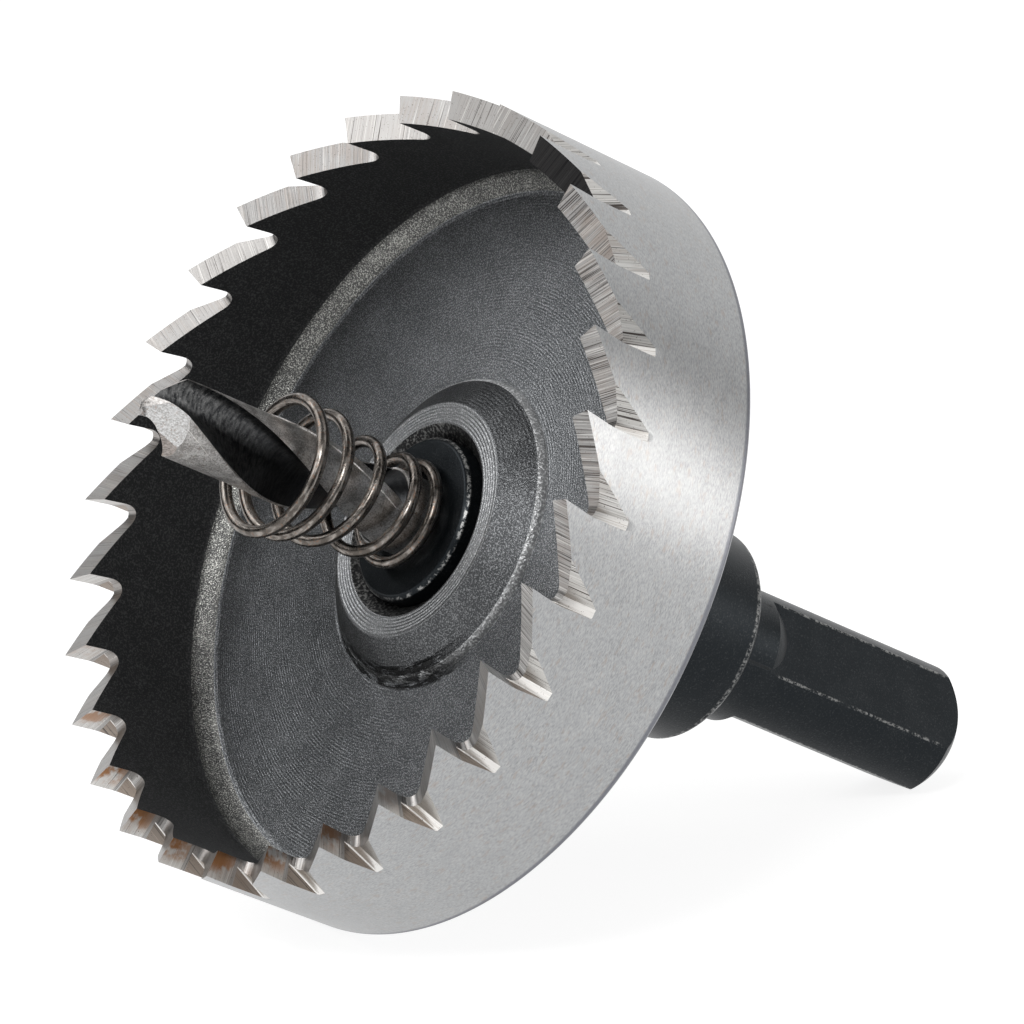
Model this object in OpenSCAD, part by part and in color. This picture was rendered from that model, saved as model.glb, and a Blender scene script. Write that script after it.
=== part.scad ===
// Hole saw with a one-piece toothed cup, a three-flat arbor, a pilot drill and
// an ejector spring. It lies as it comes to rest, on the cup's rear rim and on
// one flat at the end of the shank, with the drill pointing up and towards -X.
// Sizes are in millimetres.

/* [Cup] */
// Outer diameter over the teeth
cup_d = 65; // [63.5:0.5:70]
// Height from the rear face to the tooth tips
cup_h = 16.3; // [15.8:0.1:20]
// Thickness of the wall
wall_t = 2.2; // [1.8:0.05:2.6]
// Thickness of the floor
floor_t = 3.5; // [2.6:0.1:4.2]
// Width of the bevelled band between wall and floor
band_w = 1.4; // [0.8:0.1:2]
// Bevel of the rear rim
rim_bevel = 0.4; // [0.2:0.05:0.8]

/* [Hub] */
// Height of the hub's ring face above the cup's rear face
hub_h = 6.25; // [5.6:0.05:7]
// Outer diameter of the ring face
ring_d = 19.7; // [18.8:0.1:22]
// Diameter of the hub at its foot
hub_foot_d = 25.5; // [24:0.1:28]
// Height of the small step at the foot of the hub
foot_step = 0.45; // [0.2:0.05:0.8]
// Diameter of the countersink in the ring face
sink_d = 16.2; // [15.4:0.1:17.4]

/* [Teeth] */
// Number of teeth
teeth = 29; // [26:1:32]
// Angle of the first tooth tip round the axis
tooth_phase = 5; // [0:0.5:12]
// Rake angle of the cutting faces
rake = 9; // [4:0.5:14]
// Slope of the ground back of each tooth
back_slope = 30.5; // [27:0.5:33]
// Radius at the root of the straight gash
root_r = 1; // [0.7:0.05:1.2]
// Fall of the gash towards the inside
gash_fall = 3.5; // [0:0.5:6]
// Depth from the tips to the lower end of the outer gash
outer_depth = 6.15; // [5.4:0.05:7]
// Lean of the outer gash towards the axis
outer_lean = 26.5; // [20:0.5:30]
// Slope of the rear side of the outer gash
outer_open = 60; // [54:1:68]
// Width of the flat root of the outer gash
outer_flat = 0.75; // [0.3:0.05:1]

/* [Arbor] */
// Diameter of the nose in the cup's bore
nose_d = 13.7; // [12.6:0.1:14.4]
// Height of the nose above the cup's rear face
nose_h = 6.7; // [6.3:0.05:7.4]
// Radial clearance of the nose in the bore
nose_clear = 0.05; // [0.02:0.01:0.15]
// Diameter of the collar
collar_d = 18.1; // [16.5:0.1:20]
// Length of the collar
collar_l = 23.4; // [21:0.1:26]
// Bevel of the collar's rear edge
collar_bevel = 0.6; // [0.3:0.05:1]
// Diameter of the round parts of the shank
shank_d = 11.5; // [10.8:0.1:12.4]
// Distance from the axis to each shank flat
flat_q = 4.75; // [4.5:0.05:5]
// Length of the round neck between collar and flats
neck_l = 4.2; // [3:0.1:6]
// Radius of the ball shape that the flats run out into
runout_round = 5.9; // [5.9:0.05:6.4]
// Length from the cup's rear face to the end of the shank
shank_end = 50.4; // [46:0.1:56]
// Radial size of the rounding at the shank's end
end_bevel = 2.05; // [1.4:0.05:2.4]
// Radius of that rounding, a part of a ball
end_round = 7; // [6.5:0.1:9]

/* [Pilot drill] */
// Diameter of the drill
drill_d = 6.5; // [6:0.1:7]
// Height of the drill's tip above the cup's rear face
drill_tip = 33.8; // [31:0.1:38]
// Length of the plain end held in the arbor
drill_held = 19; // [16:0.5:20]
// Height at which the flutes run out
flute_start = 9.5; // [8.5:0.1:11]
// Length over which they run out
flute_run = 2.6; // [2:0.1:4]
// Axial length of one turn of the flutes
flute_lead = 44; // [36:1:52]
// Thickness of the web between the flutes
web_t = 1.5; // [1:0.05:1.8]
// Included angle of the point
point_angle = 118; // [112:1:124]
// Turn of the drill's lips about the axis
drill_turn = -92; // [-180:1:0]
// Radial clearance of the drill in the arbor's bore
drill_clear = 0.04; // [0.02:0.01:0.1]

/* [Ejector spring] */
// Diameter of the spring wire
wire_d = 1; // [0.8:0.02:1.06]
// Length of the spring in front of the nose
spring_l = 14.4; // [13:0.1:17]
// Mean radius of the coil at the nose
spring_small_r = 4.25; // [4.2:0.05:4.4]
// Mean radius of the front coil
spring_large_r = 5.3; // [5:0.05:6]
// Fall of the loose front coils under their weight
spring_sag = 0.12; // [0:0.02:0.2]
// Shift of the loose coils to one side of the drill
spring_shift = 0.36; // [0:0.02:0.44]
// Lean of the loose coils along the axis
spring_lean = 0.28; // [0:0.02:0.5]

/* [Grub screw] */
// Diameter of the grub screw
grub_d = 6; // [5:0.5:6.5]
// Distance of the screw from the cup's rear face
grub_z = 11.5; // [9:0.5:14]
// Hex size of the socket
grub_hex = 3; // [2.5:0.1:3.2]
// Depth of the hex socket
socket_l = 2.4; // [2:0.1:2.6]
// Depth of the screw's face below the collar
grub_sunk = 0.6; // [0.3:0.05:1]
// Radial clearance of the screw in its hole
grub_clear = 0.05; // [0.02:0.01:0.1]

/* [Hidden] */

$fn = 96;
cup_r = cup_d / 2;
wall_r = cup_r - wall_t;
pitch_a = 360 / teeth;
// straight distance from one tooth's radial plane to the next tip
pitch_y = cup_r * sin(pitch_a);
bore_r = nose_d / 2 + nose_clear;
drill_r = drill_d / 2;
shank_r = shank_d / 2;
end_r = shank_r - end_bevel;

// pose at rest: the rear rim and the end of the lower flat touch the ground
end_ball_z = shank_end - sqrt(pow(end_round, 2) - pow(end_r, 2));
flat_end_z = end_ball_z + sqrt(pow(end_round, 2) - pow(flat_q, 2));
lie = atan((cup_r - flat_q) / (flat_end_z + rim_bevel));
lift = cup_r * cos(lie) - rim_bevel * sin(lie);
// middle of the part along X, from the lowest tips to the end of the shank
low_x = -(cup_r * sin(lie) + cup_h * cos(lie));
high_x = shank_end * cos(lie) + end_r * sin(lie);
mid_x = (low_x + high_x) / 2;

// straight gash: rake side, round root and the ground back of the next tooth
rake_dir = [sin(rake), cos(rake)];
back_dir = [cos(back_slope), sin(back_slope)];
root_p = -pitch_y * sin(back_slope) / sin(90 - rake - back_slope) * rake_dir;
root_half = (90 - rake - back_slope) / 2;
root_c = root_p + root_r / sin(root_half) * [cos(back_slope + root_half), sin(back_slope + root_half)];
root_t = root_p + root_r / tan(root_half) * rake_dir;
root_steps = 6;
gash_profile = concat(
    [for (i = [0:root_steps])
        root_c + root_r * [
            cos(180 - rake + i * (90 + rake + back_slope) / root_steps),
            sin(180 - rake + i * (90 + rake + back_slope) / root_steps)
        ]],
    [root_p + (pitch_y + 2 - root_p[0]) / back_dir[0] * back_dir],
    [rake_dir * 1.6 / rake_dir[1] + [0, 0.3], rake_dir * 1.6 / rake_dir[1]]
);

// outer gash, seen along its own root line: upright front side, flat root and sloping rear side
outer_y = root_t[0] - 0.05;
outer_far = 8;
outer_profile = [
    [0, 0],
    [outer_far, 0],
    [outer_far, outer_flat + outer_far * tan(outer_open)],
    [0, outer_flat]
];

// cross-section of the drill: two lands, a hair below the plain end, and two flutes
land_r = drill_r - 0.02;
web_r = web_t / 2;
flute_c = [0.12 * drill_r, 0.7 * drill_r];
flute_r = flute_c[1] - web_r;
lead_a = asin(web_r / land_r);
// the heel is where the round of the flute meets the land
heel_cos = (pow(norm(flute_c), 2) + pow(land_r, 2) - pow(flute_r, 2)) / (2 * norm(flute_c) * land_r);
heel_a = atan2(flute_c[1], flute_c[0]) + acos(heel_cos);
heel_p = land_r * [cos(heel_a), sin(heel_a)];
flute_a = atan2(heel_p[1] - flute_c[1], heel_p[0] - flute_c[0]);
half_section = concat(
    [land_r * [cos(lead_a), sin(lead_a)]],
    [for (i = [0:7])
        flute_c + flute_r * [cos(270 + i * (flute_a - 270) / 7), sin(270 + i * (flute_a - 270) / 7)]],
    [for (i = [0:7])
        land_r * [
            cos(heel_a + 2 + i * (178 + lead_a - heel_a) / 8),
            sin(heel_a + 2 + i * (178 + lead_a - heel_a) / 8)
        ]]
);
section = concat(half_section, [for (p = half_section) -p]);
point_h = drill_r / tan(point_angle / 2);
// the section starts inside the plain end, so the two merge in one solid
flute_low = flute_start - 0.6;
flute_l = drill_tip - flute_low;

// middle of the spring's wire against turns counted from the nose
spring_from = 0.7;
spring_turns = 5.05;
spring_rings = 120;
spring_sides = 10;
rise_u = [
    [0.7, 0], [1.5, 0.06], [2, 0.165], [3, 0.455], [3.5, 0.645], [4, 0.765], [4.5, 0.86], [5, 0.99], [6, 1]
];
radius_u = [[0.7, 0], [2, -0.05], [3, 0.1], [3.5, 0.6], [4.5, 1.1], [5.25, 1], [5.75, 2]];

function spring_rise(u) = wire_d / 2 + (spring_l - wire_d) * lookup(u, rise_u);

function spring_radius(u) = spring_small_r + (spring_large_r - spring_small_r) * lookup(u, radius_u);

function spring_loose(u) = lookup(u, [[0, 0], [1.3, 0], [3, 1], [6, 1]]);

function spring_point(u) = [
    spring_radius(u) * cos(-360 * u) - spring_sag * spring_loose(u),
    spring_radius(u) * sin(-360 * u) - spring_shift * spring_loose(u),
    nose_h + spring_rise(u) + spring_lean * spring_loose(u) * sin(-360 * u)
];

function unit(v) = v / norm(v);

function spring_ring(u) =
    let (
        c = spring_point(u),
        t = unit(spring_point(u + 0.01) - spring_point(u - 0.01)),
        n = unit(cross([0, 0, 1], t)),
        b = cross(t, n)
    )
    [for (k = [0:spring_sides - 1])
        c + wire_d / 2 * (cos(360 * k / spring_sides) * n + sin(360 * k / spring_sides) * b)];

module place() {
    translate([-mid_x, 0, lift])
        rotate([0, lie - 90, 0])
            children();
}

// straight cut through the whole wall, in front of one tooth
module gash() {
    rotate([0, -gash_fall, 0])
        rotate([90, 0, 90])
            linear_extrude(height = 9, center = true)
                polygon(gash_profile);
}

// slanted cut that carries the gullet out on to the outer wall
module outer_gash() {
    intersection() {
        translate([0, outer_y, -outer_depth])
            rotate([0, -outer_lean, 0])
                linear_extrude(height = 20, center = true)
                    polygon(outer_profile);
        translate([0, 0, root_t[1] - 0.2])
            rotate([back_slope, 0, 0])
                translate([-6, -6, -12])
                    cube([12, 16, 12]);
    }
}

module cup_blank() {
    rotate_extrude()
        polygon([
            [bore_r, 0],
            [cup_r - rim_bevel, 0],
            [cup_r, rim_bevel],
            [cup_r, cup_h + 0.4],
            [wall_r, cup_h + 0.4],
            [wall_r, floor_t + band_w],
            [wall_r - band_w, floor_t],
            [hub_foot_d / 2, floor_t],
            [hub_foot_d / 2, floor_t + foot_step],
            [ring_d / 2, hub_h],
            [sink_d / 2, hub_h],
            [bore_r, hub_h - (sink_d / 2 - bore_r)]
        ]);
}

module cut_teeth(count) {
    if (count == 0) {
        cup_blank();
    } else {
        difference() {
            cut_teeth(count - 1);
            rotate([0, 0, tooth_phase + count * pitch_a])
                translate([cup_r, 0, cup_h])
                    gash();
            rotate([0, 0, tooth_phase + count * pitch_a])
                translate([cup_r, 0, cup_h])
                    outer_gash();
        }
    }
}

module cutter_cup() {
    color([0.62, 0.63, 0.64])
        place()
            cut_teeth(teeth);
}

module shank() {
    neck_z = collar_l + neck_l;
    run_ball_z = neck_z - sqrt(pow(runout_round, 2) - pow(shank_r, 2));
    intersection() {
        translate([0, 0, -shank_end])
            cylinder(r = shank_r, h = shank_end - collar_l);
        // three flats, the ball that they run out into, and the round neck
        union() {
            translate([0, 0, -shank_end - 1])
                cylinder(r = 2 * flat_q, h = shank_end + 1 - run_ball_z, $fn = 3);
            translate([0, 0, -run_ball_z])
                sphere(r = runout_round);
            translate([0, 0, -run_ball_z])
                cylinder(r = 1.2 * shank_r, h = run_ball_z - collar_l);
        }
        // rounded end
        union() {
            translate([0, 0, -end_ball_z])
                sphere(r = end_round);
            translate([0, 0, -end_ball_z])
                cylinder(r = 1.2 * end_round, h = end_ball_z - collar_l);
        }
    }
}

module arbor() {
    color([0.13, 0.135, 0.14])
        place()
            difference() {
                union() {
                    rotate_extrude()
                        polygon([
                            [0, nose_h],
                            [nose_d / 2 - 0.35, nose_h],
                            [nose_d / 2, nose_h - 0.35],
                            [nose_d / 2, 0],
                            [collar_d / 2, 0],
                            [collar_d / 2, -collar_l + collar_bevel],
                            [collar_d / 2 - collar_bevel, -collar_l],
                            [0, -collar_l]
                        ]);
                    shank();
                }
                translate([0, 0, -drill_held])
                    cylinder(r = drill_r + drill_clear, h = drill_held + nose_h + 1);
                translate([0, 0, -grub_z])
                    rotate([-90, 0, 0])
                        cylinder(r = grub_d / 2 + grub_clear, h = collar_d);
            }
}

module drill_point() {
    translate([0, 0, drill_tip - point_h])
        cylinder(r1 = drill_r, r2 = 0, h = point_h);
    translate([0, 0, flute_low - 1])
        cylinder(r = drill_r + 0.2, h = flute_l + 1 - point_h);
}

// thins the web on one side of the chisel edge
module split_notch() {
    translate([0, 0, drill_tip])
        rotate([0, 0, lead_a])
            translate([0.1, 0.12, -0.35])
                rotate([-32, 0, 0])
                    rotate([0, -28, 0])
                        translate([-4, 0, 0])
                            cube([4, 4, 4]);
}

// lowers the rear part of one flank, behind its lip
module heel_relief() {
    translate([0.1, -0.7, drill_tip - 0.5])
        rotate([0, 0, -66.5])
            rotate([0, 50, 0])
                translate([-5, -5, 0])
                    cube([10, 10, 5]);
}

module pilot_drill() {
    flat_d = 0.4;
    color([0.42, 0.42, 0.43])
        place() {
            rotate([0, 0, drill_turn])
                difference() {
                    intersection() {
                        translate([0, 0, flute_low])
                            linear_extrude(
                                height = flute_l,
                                twist = -360 * flute_l / flute_lead,
                                slices = 30
                            )
                                rotate([0, 0, -360 * (flute_l - point_h) / flute_lead])
                                    polygon(section);
                        drill_point();
                    }
                    for (side = [0, 180])
                        rotate([0, 0, side]) {
                            split_notch();
                            heel_relief();
                        }
                }
            // run-out of the flutes, and the plain end with the screw's flat
            translate([0, 0, flute_start])
                cylinder(r1 = land_r - 0.1, r2 = web_r, h = flute_run);
            difference() {
                translate([0, 0, -drill_held])
                    cylinder(r = drill_r, h = drill_held + flute_start);
                translate([-drill_r, drill_r - flat_d, -grub_z - grub_d / 2 - 1])
                    cube([drill_d, 1, grub_d + 2]);
            }
        }
}

module ejector_spring() {
    color([0.36, 0.32, 0.29])
        place()
            polyhedron(
                points = [for (i = [0:spring_rings])
                    each spring_ring(spring_from + spring_turns * i / spring_rings)],
                faces = concat(
                    [[for (k = [0:spring_sides - 1]) k]],
                    [for (i = [0:spring_rings - 1])
                        for (k = [0:spring_sides - 1])
                            let (a = i * spring_sides, b = (k + 1) % spring_sides)
                                [a + k, a + spring_sides + k, a + spring_sides + b, a + b]],
                    [[for (k = [0:spring_sides - 1]) spring_rings * spring_sides + spring_sides - 1 - k]]
                )
            );
}

module grub_screw() {
    face_y = collar_d / 2 - grub_sunk;
    tip_y = drill_r - 0.4;
    color([0.12, 0.12, 0.13])
        place()
            translate([0, 0, -grub_z])
                rotate([-90, 0, 0])
                    difference() {
                        union() {
                            translate([0, 0, tip_y])
                                cylinder(r1 = grub_d / 2 - 1, r2 = grub_d / 2, h = 1);
                            translate([0, 0, tip_y + 1])
                                cylinder(r = grub_d / 2, h = face_y - tip_y - 1);
                        }
                        translate([0, 0, face_y - socket_l])
                            cylinder(d = grub_hex / cos(30), h = socket_l + 1, $fn = 6);
                    }
}

cutter_cup();
arbor();
pilot_drill();
ejector_spring();
grub_screw();
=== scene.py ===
"""Hole saw lying in a white studio.

The visible pieces are modelled here with bmesh operators, and each takes the
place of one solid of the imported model.  They are made in the tool's own frame,
in millimetres: its origin is the middle of the cup's rear face, z runs along
the axis towards the drill, and x is the side that lies uppermost.
"""

from __future__ import annotations

import logging
import math
from collections.abc import Callable, Iterable
from dataclasses import dataclass, field
from enum import Enum, IntEnum

import bmesh
import bpy
from mathutils import Matrix, Vector

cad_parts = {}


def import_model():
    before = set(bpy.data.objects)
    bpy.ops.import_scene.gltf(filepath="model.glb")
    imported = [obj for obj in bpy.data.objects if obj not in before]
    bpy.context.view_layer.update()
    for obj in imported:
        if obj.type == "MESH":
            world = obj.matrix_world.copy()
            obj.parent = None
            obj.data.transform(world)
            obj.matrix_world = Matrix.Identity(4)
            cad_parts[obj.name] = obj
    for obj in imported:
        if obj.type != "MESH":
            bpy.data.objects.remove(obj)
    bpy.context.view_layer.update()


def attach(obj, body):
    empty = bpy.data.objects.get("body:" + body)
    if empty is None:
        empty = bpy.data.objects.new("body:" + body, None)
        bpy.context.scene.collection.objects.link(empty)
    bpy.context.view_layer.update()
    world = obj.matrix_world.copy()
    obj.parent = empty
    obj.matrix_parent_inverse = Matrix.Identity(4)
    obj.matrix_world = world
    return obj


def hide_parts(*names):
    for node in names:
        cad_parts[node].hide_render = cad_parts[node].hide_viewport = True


LOG = logging.getLogger("hole_saw")
Triple = tuple[float, float, float]
Colour = Triple
Sockets = dict[str, object]
Table = tuple[tuple[float, float], ...]
Geometry = list[bmesh.types.BMVert | bmesh.types.BMEdge | bmesh.types.BMFace]

MM = 0.001
ORIGIN: Triple = (0.0, 0.0, 0.0)
TOOL_AXIS: Triple = (0.0, 0.0, 1.0)
WHITE: Colour = (1.0, 1.0, 1.0)
EASE_STEPS = 4


@dataclass(frozen=True)
class Placement:
    """How the tool lies: on the cup's rear rim and the end of one shank flat."""

    lie_deg: float = 29.030508
    mid_x: float = 7.919899
    lift: float = 28.222637

    @property
    def turn(self) -> float:
        """Turn about the scene's Y axis that lays the tool down, in radians."""
        return math.radians(self.lie_deg - 90.0)

    @property
    def origin(self) -> Vector:
        """Middle of the cup's rear face in the scene, in metres."""
        return Vector((-self.mid_x, 0.0, self.lift)) * MM

    def matrix(self) -> Matrix:
        """Matrix from tool millimetres to scene metres."""
        turn = Matrix.Rotation(self.turn, 4, "Y")
        return Matrix.Translation(self.origin) @ turn @ Matrix.Scale(MM, 4)


@dataclass(frozen=True)
class Teeth:
    """How the teeth are spaced round the rim."""

    count: int = 29
    phase_deg: float = 5.0

    @property
    def pitch_deg(self) -> float:
        """Angle from one tooth tip to the next."""
        return 360.0 / self.count


# Shader graph


class Term:
    """A number in a shader that takes part in Python arithmetic."""

    def __init__(self, graph: Graph, socket: bpy.types.NodeSocket) -> None:
        """Wraps an output socket, with the graph that makes further nodes."""
        self.graph = graph
        self.socket = socket

    def __add__(self, other: Term | float) -> Term:
        """Sum."""
        return self.graph.math("ADD", self, other)

    def __radd__(self, other: Term | float) -> Term:
        """Reflected sum."""
        return self.graph.math("ADD", other, self)

    def __sub__(self, other: Term | float) -> Term:
        """Difference."""
        return self.graph.math("SUBTRACT", self, other)

    def __rsub__(self, other: Term | float) -> Term:
        """Reflected difference."""
        return self.graph.math("SUBTRACT", other, self)

    def __mul__(self, other: Term | float) -> Term:
        """Product."""
        return self.graph.math("MULTIPLY", self, other)

    def __rmul__(self, other: Term | float) -> Term:
        """Reflected product."""
        return self.graph.math("MULTIPLY", other, self)

    def __neg__(self) -> Term:
        """Negative."""
        return self.graph.math("MULTIPLY", self, -1.0)

    def sqrt(self) -> Term:
        """Square root."""
        return self.graph.math("SQRT", self)

    def abs(self) -> Term:
        """Absolute value."""
        return self.graph.math("ABSOLUTE", self)

    def floor(self) -> Term:
        """Next whole number below."""
        return self.graph.math("FLOOR", self)

    def fraction(self) -> Term:
        """Part after the point."""
        return self.graph.math("FRACT", self)

    def sine(self) -> Term:
        """Sine of an angle in radians."""
        return self.graph.math("SINE", self)

    def cosine(self) -> Term:
        """Cosine of an angle in radians."""
        return self.graph.math("COSINE", self)

    def most(self, other: Term | float) -> Term:
        """Larger of two values."""
        return self.graph.math("MAXIMUM", self, other)

    def step(self, low: float, high: float) -> Term:
        """Smooth step from 0 at low to 1 at high.

        Args:
            low: value at which the step starts.
            high: value at which it ends; below low, the step falls.

        Returns:
            The stepped value, from 0 to 1.
        """
        falls = high < low
        node = self.graph.node(
            "ShaderNodeMapRange",
            {"interpolation_type": "SMOOTHSTEP"},
            {
                "Value": self,
                "From Min": min(low, high),
                "From Max": max(low, high),
                "To Min": 1.0 if falls else 0.0,
                "To Max": 0.0 if falls else 1.0,
            },
        )
        return Term(self.graph, node.outputs[0])

    def between(self, low: float, high: float, soft: float) -> Term:
        """Mask of the values from low to high, whose ends fade over a soft width to each side."""
        return self.step(low - soft, low + soft) * self.step(high + soft, high - soft)


class Graph:
    """Makes the nodes of one shader."""

    def __init__(self, tree: bpy.types.NodeTree) -> None:
        """Empties the node tree of a material or of the world, to fill it."""
        self.tree = tree
        tree.nodes.clear()

    def node(
        self,
        kind: str,
        settings: dict[str, object] | None = None,
        inputs: dict[str | int, object] | None = None,
    ) -> bpy.types.Node:
        """Makes one node, sets it up and connects it.

        Args:
            kind: the node's type.
            settings: its own properties, set before the sockets; "stops" holds
                a ramp's positions and colours.
            inputs: values, terms or sockets for its inputs, by name or index.

        Returns:
            The node.
        """
        made = self.tree.nodes.new(kind)
        for name, value in (settings or {}).items():
            if name == "stops":
                ramp = made.color_ramp
                while len(ramp.elements) < len(value):
                    ramp.elements.new(0.5)
                for element, (position, colour) in zip(ramp.elements, value):
                    element.position = position
                    element.color = (*colour, 1.0)
            else:
                setattr(made, name, value)
        for name, value in (inputs or {}).items():
            target = made.inputs[name]
            if isinstance(value, Term):
                self.tree.links.new(value.socket, target)
            elif isinstance(value, bpy.types.NodeSocket):
                self.tree.links.new(value, target)
            elif target.type == "RGBA" and len(value) == 3:
                target.default_value = (*value, 1.0)
            else:
                target.default_value = value
        return made

    def math(self, operation: str, *operands: Term | float) -> Term:
        """Result of a Math node."""
        node = self.node("ShaderNodeMath", {"operation": operation}, dict(enumerate(operands)))
        return Term(self, node.outputs[0])

    def vector(self, x: Term | float, y: Term | float, z: Term | float) -> Term:
        """Vector of three values."""
        node = self.node("ShaderNodeCombineXYZ", None, {"X": x, "Y": y, "Z": z})
        return Term(self, node.outputs[0])

    def noise(self, place: Term, size: float = 1.0, detail: float = 2.0, rough: float = 0.5) -> Term:
        """Fractal noise.

        Args:
            place: where the noise is read.
            size: size of its largest features, in the units of place.
            detail: number of finer layers.
            rough: strength of each finer layer.

        Returns:
            The noise, about 0.5 in the mean.
        """
        node = self.node(
            "ShaderNodeTexNoise",
            {"noise_dimensions": "3D"},
            {"Vector": place, "Scale": 1.0 / size, "Detail": detail, "Roughness": rough},
        )
        return Term(self, node.outputs[0])

    def chance(self, value: Term) -> Term:
        """Random number for each whole number."""
        node = self.node("ShaderNodeTexWhiteNoise", {"noise_dimensions": "1D"}, {"W": value})
        return Term(self, node.outputs["Value"])

    def blend(self, share: Term | float, first: Colour | Term, second: Colour | Term) -> Term:
        """Mix of two colours.

        Args:
            share: share of the second colour.
            first: colour at 0.
            second: colour at 1.

        Returns:
            The mixed colour.
        """
        settings = {"data_type": "RGBA", "blend_type": "MIX"}
        node = self.node("ShaderNodeMix", settings, {0: share, 6: first, 7: second})
        return Term(self, node.outputs[2])

    def ramp(self, value: Term, stops: Iterable[tuple[float, Colour]]) -> Term:
        """Colour ramp over a value from 0 to 1."""
        node = self.node("ShaderNodeValToRGB", {"stops": list(stops)}, {"Fac": value})
        return Term(self, node.outputs[0])

    def glow(self, strength: Term | float) -> bpy.types.Node:
        """White light that a surface gives off by itself."""
        return self.node("ShaderNodeEmission", None, {"Color": WHITE, "Strength": strength})

    def end(self, shader: bpy.types.Node) -> None:
        """Makes a shader the material's surface."""
        self.node("ShaderNodeOutputMaterial", None, {"Surface": shader.outputs[0]})


class Grind(Enum):
    """The two ways in which the wheel crossed the cup, as slopes in degrees."""

    STRAIGHT = 3.5
    SLANTED = 116.5


class ToolSpace:
    """The tool's own coordinates inside a material, in millimetres."""

    teeth: Teeth = Teeth()
    tooth_offset: float = 31.0

    def __init__(self, graph: Graph, placement: Placement) -> None:
        """Makes the nodes that turn object coordinates into tool coordinates.

        Args:
            graph: the material's graph.
            placement: how the tool lies in the scene.
        """
        self.graph = graph
        coords = graph.node("ShaderNodeTexCoord")
        mapping = graph.node(
            "ShaderNodeMapping",
            {"vector_type": "TEXTURE"},
            {
                "Vector": coords.outputs["Object"],
                "Location": placement.origin,
                "Rotation": (0.0, placement.turn, 0.0),
                "Scale": (MM, MM, MM),
            },
        )
        self.point = Term(graph, mapping.outputs[0])
        split = graph.node("ShaderNodeSeparateXYZ", None, {0: self.point})
        self.x = Term(graph, split.outputs[0])
        self.y = Term(graph, split.outputs[1])
        self.z = Term(graph, split.outputs[2])
        self.r = (self.x * self.x + self.y * self.y).sqrt()

    def angle(self) -> Term:
        """Angle round the axis from the uppermost side, in degrees."""
        return self.graph.math("ARCTAN2", self.y, self.x) * (180.0 / math.pi)

    def low_side(self, start_deg: float, full_deg: float) -> Term:
        """Mask of the side that lies lowest, between two angles from the uppermost."""
        return self.angle().abs().step(start_deg, full_deg)

    def rings(self, across: Term, pitch: float, length: float) -> Term:
        """Place where a noise gives marks round the axis, of that width and length."""
        return self.graph.vector(self.x * (1.0 / length), self.y * (1.0 / length), across * (1.0 / pitch))

    def tooth_turn(self, early_deg: float) -> Term:
        """Number of the tooth, whose part of the cup begins a little before its tip."""
        start = (early_deg - self.teeth.phase_deg) / 360.0
        return (self.angle() * (1.0 / 360.0) + start).fraction() * self.teeth.count

    def strokes(self, grind: Grind, pitch: float, length: float, early_deg: float) -> Term:
        """Place for grinding marks, in the frame of one tooth.

        Args:
            grind: the way in which the wheel crossed the cup.
            pitch: width of one mark.
            length: length of one mark.
            early_deg: how far before its tip a tooth's part of the cup begins.

        Returns:
            A vector on which a noise of size 1 gives such marks.
        """
        turn = self.tooth_turn(early_deg)
        swing = (turn.fraction() * self.teeth.pitch_deg - early_deg) * (math.pi / 180.0)
        outwards = self.r * swing.cosine()
        sideways = self.r * swing.sine()
        lean = math.radians(grind.value)
        along = outwards * math.cos(lean) + self.z * math.sin(lean)
        across = self.z * math.cos(lean) - outwards * math.sin(lean)
        shifted = sideways * (1.0 / pitch) + turn.floor() * self.tooth_offset
        return self.graph.vector(shifted, across * (1.0 / pitch), along * (1.0 / length))


# Finishes


class Finish:
    """Base of the finishes: makes the material and its metal shader."""

    name: str = "finish"

    def shade(self, graph: Graph, space: ToolSpace) -> Sockets:
        """Sockets of the metal shader; each finish gives its own."""
        raise NotImplementedError

    def bump(self, graph: Graph, height: Term, depth_mm: float, under: Term | None = None) -> Term:
        """Surface normal from a height.

        Args:
            graph: the material's graph.
            height: height from 0 to 1.
            depth_mm: real height of 1, in millimetres.
            under: a normal to start from.

        Returns:
            The changed normal.
        """
        inputs: Sockets = {"Strength": 1.0, "Distance": depth_mm * MM, "Height": height}
        if under is not None:
            inputs["Normal"] = under
        return Term(graph, graph.node("ShaderNodeBump", None, inputs).outputs[0])

    def material(self, placement: Placement) -> bpy.types.Material:
        """Makes the material.

        Args:
            placement: how the tool lies in the scene.

        Returns:
            The material with all its nodes.
        """
        made = bpy.data.materials.new(self.name)
        made.use_nodes = True
        graph = Graph(made.node_tree)
        sockets = self.shade(graph, ToolSpace(graph, placement))
        graph.end(graph.node("ShaderNodeBsdfPrincipled", None, sockets))
        return made


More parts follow.
